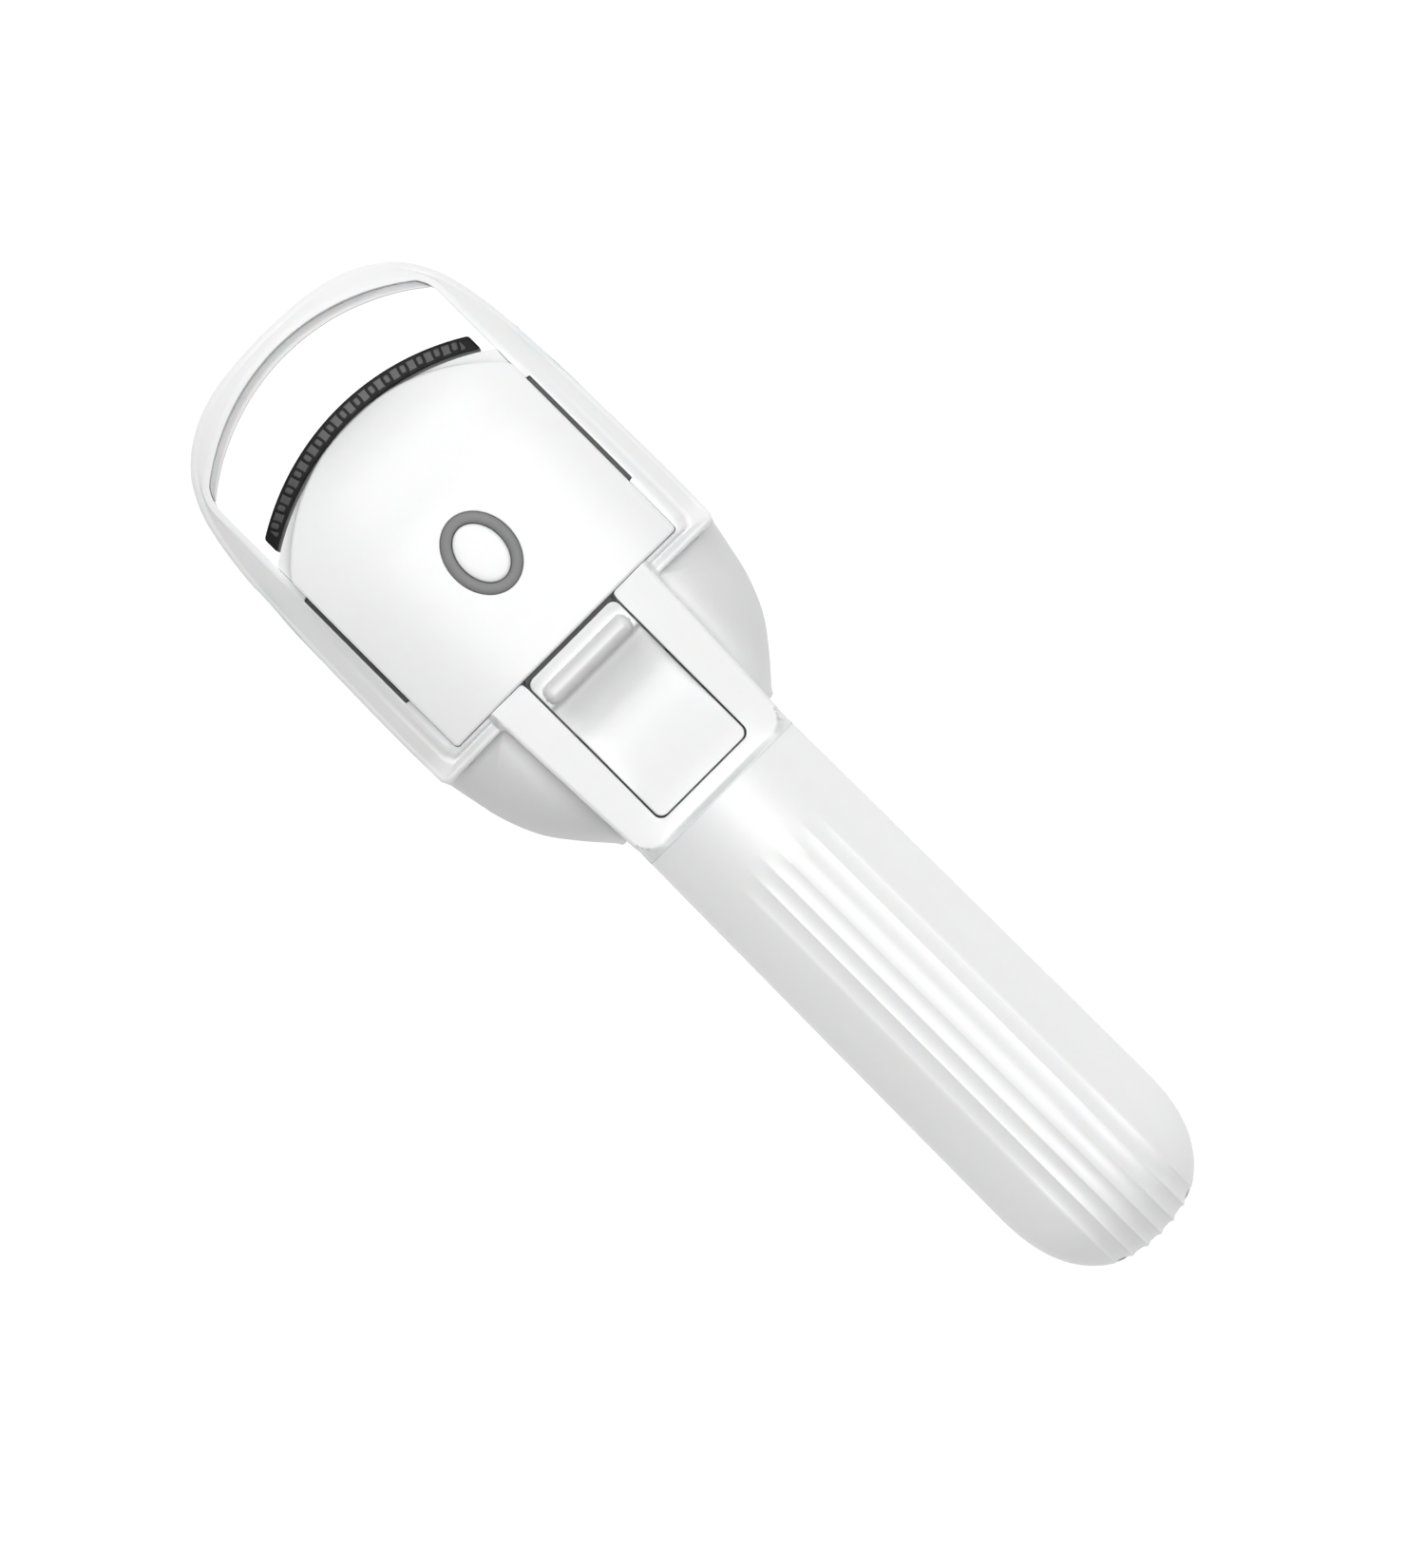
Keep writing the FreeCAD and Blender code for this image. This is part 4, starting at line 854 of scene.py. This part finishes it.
def finish(name, dark, light, roughness, patch=60, grain=2500, relief=0.00001, strength=0.25, spread=0.06,
           stretch=(1, 1, 1), **fixed):
    """Two close tones in slow patches; a finer grain leads the roughness and the relief."""
    material = bpy.data.materials.new(name)
    material.use_nodes = True
    tree = material.node_tree
    shader = tree.nodes["Principled BSDF"]
    for socket, value in fixed.items():
        shader.inputs[socket.replace("_", " ")].default_value = value
    place = tree.nodes.new("ShaderNodeTexCoord").outputs["Object"]
    tones = tree.nodes.new("ShaderNodeMix")
    tones.data_type = "RGBA"
    tones.inputs["A"].default_value = (*dark, 1)
    tones.inputs["B"].default_value = (*light, 1)
    tree.links.new(noise(tree, place, patch, 3), tones.inputs["Factor"])
    tree.links.new(tones.outputs["Result"], shader.inputs["Base Color"])
    fine = noise(tree, place, grain, 6, stretch)
    polish = tree.nodes.new("ShaderNodeMapRange")
    polish.inputs["To Min"].default_value = roughness - spread
    polish.inputs["To Max"].default_value = roughness + spread
    tree.links.new(fine, polish.inputs["Value"])
    tree.links.new(polish.outputs["Result"], shader.inputs["Roughness"])
    bump = tree.nodes.new("ShaderNodeBump")
    bump.inputs["Strength"].default_value = strength
    bump.inputs["Distance"].default_value = relief
    tree.links.new(fine, bump.inputs["Height"])
    tree.links.new(bump.outputs["Normal"], shader.inputs["Normal"])
    return material


def grey(value):
    """A neutral colour."""
    return (value, value, value)


def white_plastic(name, tone, roughness, coat=0.0, gloss=0.45):
    """White moulded plastic, a little translucent, with a faint waviness and grain from the mould."""
    dark = (tone - 0.012, tone - 0.010, tone - 0.008)
    return finish(name, dark, grey(tone + 0.008), roughness,
                  patch=90, grain=900, relief=0.00001, strength=0.12, spread=0.03,
                  Specular_IOR_Level=gloss, Coat_Weight=coat, Coat_Roughness=0.2,
                  Subsurface_Weight=0.08, Subsurface_Scale=0.0015)


def board_lacquer(name, dark, light):
    """Coated green lacquer on a circuit board."""
    return finish(name, dark, light, 0.3, patch=900, grain=3500, Coat_Weight=0.4)


def shell_finishes():
    """The moulded plastic pieces."""
    return {
        "head_frame_moulding": white_plastic("white frame plastic", 0.9, 0.46),
        # the rear cover's lower tone is painted shade for its wings, which slope back away from the light
        "head_rear_moulding": white_plastic("white rear cover plastic greyed as painted shade", 0.77, 0.5),
        "handle_front_moulding": white_plastic("white handle plastic", 0.93, 0.45, gloss=0.9),
        "handle_rear_moulding": white_plastic("white rear handle plastic", 0.78, 0.45),
        "front_panel_moulding": white_plastic("white panel plastic", 0.91, 0.33, coat=0.12),
        # the slider's flange is near black as painted shade for the shadow in the thumb slot; the real flange
        # is the same white plastic
        "thumb_slider_moulding": [white_plastic("white slider plastic", 0.82, 0.4, gloss=0.7),
                                  finish("painted shade slide plate", grey(0.08), grey(0.11), 0.5, grain=4000)],
        "power_button_cap": white_plastic("white button plastic", 0.9, 0.36, coat=0.12),
        "carriage_base": white_plastic("white carriage plastic", 0.84, 0.4),
        # the holder's lower tone is painted shade for the shaded band beside the heater strip
        "heater_holder": white_plastic("heat-proof plastic greyed as painted shade", 0.74, 0.45),
        "battery_cradle": finish("cradle plastic", grey(0.4), grey(0.46), 0.48),
    }


def face_finishes():
    """The pad, strip, ring, and the dark strips on the front that are painted shade for the shadow in its
    gaps.
    """
    return {
        # near-black strips in the rail notches: painted shade for the shadow in the guide slots
        "painted_shade_guide_strips": finish("painted shade guide strip", grey(0.07), grey(0.1), 0.5, patch=300, grain=4000,
                                    stretch=(1, 0.1, 1)),
        # near-black strip between the panel and the thumb piece: painted shade for the shadow in that gap
        "painted_shade_thumb_gap": finish("painted shade gap strip", grey(0.07), grey(0.1), 0.6, patch=300, grain=5000),
        "arch_pad_silicone": finish("white silicone rubber", grey(0.74), grey(0.8), 0.5, grain=6000,
                                    Subsurface_Weight=0.3, Subsurface_Scale=0.001, Sheen_Weight=0.15),
        "heater_comb": [finish("black heater plastic", grey(0.006), grey(0.012), 0.5, patch=400, grain=5000,
                               relief=0.00003, strength=0.5, Specular_IOR_Level=0.2),
                        finish("heater cells", grey(0.045), grey(0.075), 0.4, patch=900, grain=6000,
                               relief=0.00002, strength=0.4)],
        "oval_light_ring": finish("frosted grey ring", grey(0.23), grey(0.27), 0.5, patch=500, grain=7000,
                                  Transmission_Weight=0.15, Subsurface_Weight=0.1, Subsurface_Scale=0.0005),
    }


def mechanism_finishes():
    """The parts that carry the slide, and the screws."""
    return {
        "heating_element": finish("ceramic heater", (0.62, 0.6, 0.56), (0.74, 0.72, 0.68), 0.62, grain=5000),
        "mechanism_shield": finish("dark inner plastic", grey(0.05), grey(0.08), 0.5),
        "slide_chassis": finish("dark chassis plastic", grey(0.04), grey(0.06), 0.5),
        "guide_rods": finish("ground steel", (0.5, 0.5, 0.51), (0.62, 0.62, 0.63), 0.2, grain=3000,
                             stretch=(1, 0.03, 1), Metallic=1.0),
        "return_springs": finish("spring wire", (0.42, 0.42, 0.43), (0.56, 0.55, 0.54), 0.3, grain=4000,
                                 Metallic=1.0),
        "slide_bushings": finish("turned brass", (0.62, 0.42, 0.17), (0.75, 0.53, 0.24), 0.26, grain=4000,
                                 stretch=(0.1, 1, 0.1), Metallic=1.0),
        "panel_screws": finish("plated screw steel", (0.5, 0.5, 0.5), (0.62, 0.61, 0.6), 0.28, grain=5000,
                               Metallic=1.0),
        "housing_screws": finish("black screw steel", grey(0.05), grey(0.08), 0.36, grain=5000, Metallic=1.0),
    }


def electric_finishes():
    """Boards, cell, cable and socket."""
    return {
        "control_board": board_lacquer("green board lacquer", (0.01, 0.11, 0.05), (0.015, 0.16, 0.07)),
        "main_board": board_lacquer("green main board lacquer", (0.01, 0.11, 0.05), (0.015, 0.16, 0.07)),
        "charge_board": board_lacquer("green charge board lacquer", (0.01, 0.1, 0.06), (0.015, 0.15, 0.08)),
        "board_chips": finish("chip epoxy", grey(0.015), grey(0.028), 0.55, patch=1500, grain=9000,
                              relief=0.00002, strength=0.5),
        "button_switch": finish("switch metal", (0.42, 0.42, 0.41), (0.56, 0.56, 0.55), 0.3, grain=5000,
                                Metallic=1.0),
        "status_lights": finish("clear lamp resin", (0.8, 0.82, 0.78), (0.88, 0.9, 0.86), 0.14, grain=3000,
                                Transmission_Weight=0.5),
        "ribbon_cable": finish("amber ribbon film", (0.42, 0.16, 0.03), (0.52, 0.22, 0.05), 0.3, patch=700,
                               grain=3000, stretch=(1, 0.02, 1), Coat_Weight=0.3),
        "battery_cell": finish("cell sleeve", (0.03, 0.14, 0.32), (0.045, 0.19, 0.4), 0.32,
                               patch=120, grain=2500, Coat_Weight=0.3),
        "charging_socket": finish("socket shell steel", (0.45, 0.45, 0.46), (0.58, 0.58, 0.58), 0.24,
                                  grain=4000, stretch=(1, 0.05, 1), Metallic=1.0),
    }


def finishes():
    """Finish of every piece, or a list of two where a piece has a second finish."""
    return {**shell_finishes(), **face_finishes(), **mechanism_finishes(), **electric_finishes()}


def dress():
    """Give each piece, and each CAD part still showing, its finish."""
    for name, materials in finishes().items():
        thing = bpy.data.objects[name]
        materials = materials if isinstance(materials, list) else [materials]
        while len(thing.data.materials) < len(materials):
            thing.data.materials.append(None)
        for index, place in enumerate(thing.material_slots):
            place.material = materials[min(index, len(materials) - 1)]


# ---------------------------------------------------------------- floor, light and camera

def floor():
    """A pale floor just under the part, lit a little from itself."""
    mesh = bpy.data.meshes.new("floor")
    half = 1.5
    corners = [(-half, -half, 0), (half, -half, 0), (half, half, 0), (-half, half, 0)]
    mesh.from_pydata(corners, [], [(0, 1, 2, 3)])
    plane = bpy.data.objects.new("floor", mesh)
    plane.location.z = -0.0004
    bpy.context.scene.collection.objects.link(plane)
    mesh.materials.append(finish("pale paper", grey(0.5), grey(0.53), 0.8, patch=8, grain=300,
                                 Emission_Color=(1, 1, 1, 1), Emission_Strength=0.75))


def soft_light(name, place, target, width, power):
    """A square softbox aimed at a point."""
    lamp = bpy.data.lights.new(name, "AREA")
    lamp.shape = "SQUARE"
    lamp.size = width
    lamp.energy = power
    holder = bpy.data.objects.new(name, lamp)
    holder.location = place
    aim = mathutils.Vector(target) - mathutils.Vector(place)
    holder.rotation_euler = aim.to_track_quat("-Z", "Y").to_euler()
    bpy.context.scene.collection.objects.link(holder)


def studio():
    """A key light behind the head, a large one overhead and a little even light all round."""
    soft_light("key softbox", (0.08, 0.52, 0.58), (0, 0, 0.01), 0.45, 1.9)
    soft_light("overhead softbox", (0.12, 0.01, 0.94), (0, 0, 0.01), 0.7, 7.4)
    world = bpy.data.worlds.new("studio air")
    world.use_nodes = True
    air = world.node_tree.nodes["Background"]
    air.inputs["Color"].default_value = (1, 1, 1, 1)
    air.inputs["Strength"].default_value = 0.03
    bpy.context.scene.world = world


def camera():
    """Look straight down on the front, turned so that the head points to the upper left."""
    lens = bpy.data.cameras.new("camera")
    lens.sensor_fit = "VERTICAL"
    lens.sensor_height = 36
    lens.lens = 180
    holder = bpy.data.objects.new("camera", lens)
    holder.location = (0, 0, 0.8305)
    holder.rotation_euler = (0, 0, math.radians(-45))
    bpy.context.scene.collection.objects.link(holder)
    bpy.context.scene.camera = holder
    bpy.context.scene.view_settings.view_transform = "Standard"


head_frame()
head_rear_cover()
handle_shell("handle_front_moulding", "handle_front_shell", -1.42, True, "front_shell")
handle_shell("handle_rear_moulding", "handle_rear_shell", 2.0, False, "rear_shell")
arch_pad()
panel_cover()
light_ring()
power_button()
heater_strip()
thumb_slider()
guide_strips()
thumb_gap_shade()
dress()
floor()
studio()
camera()
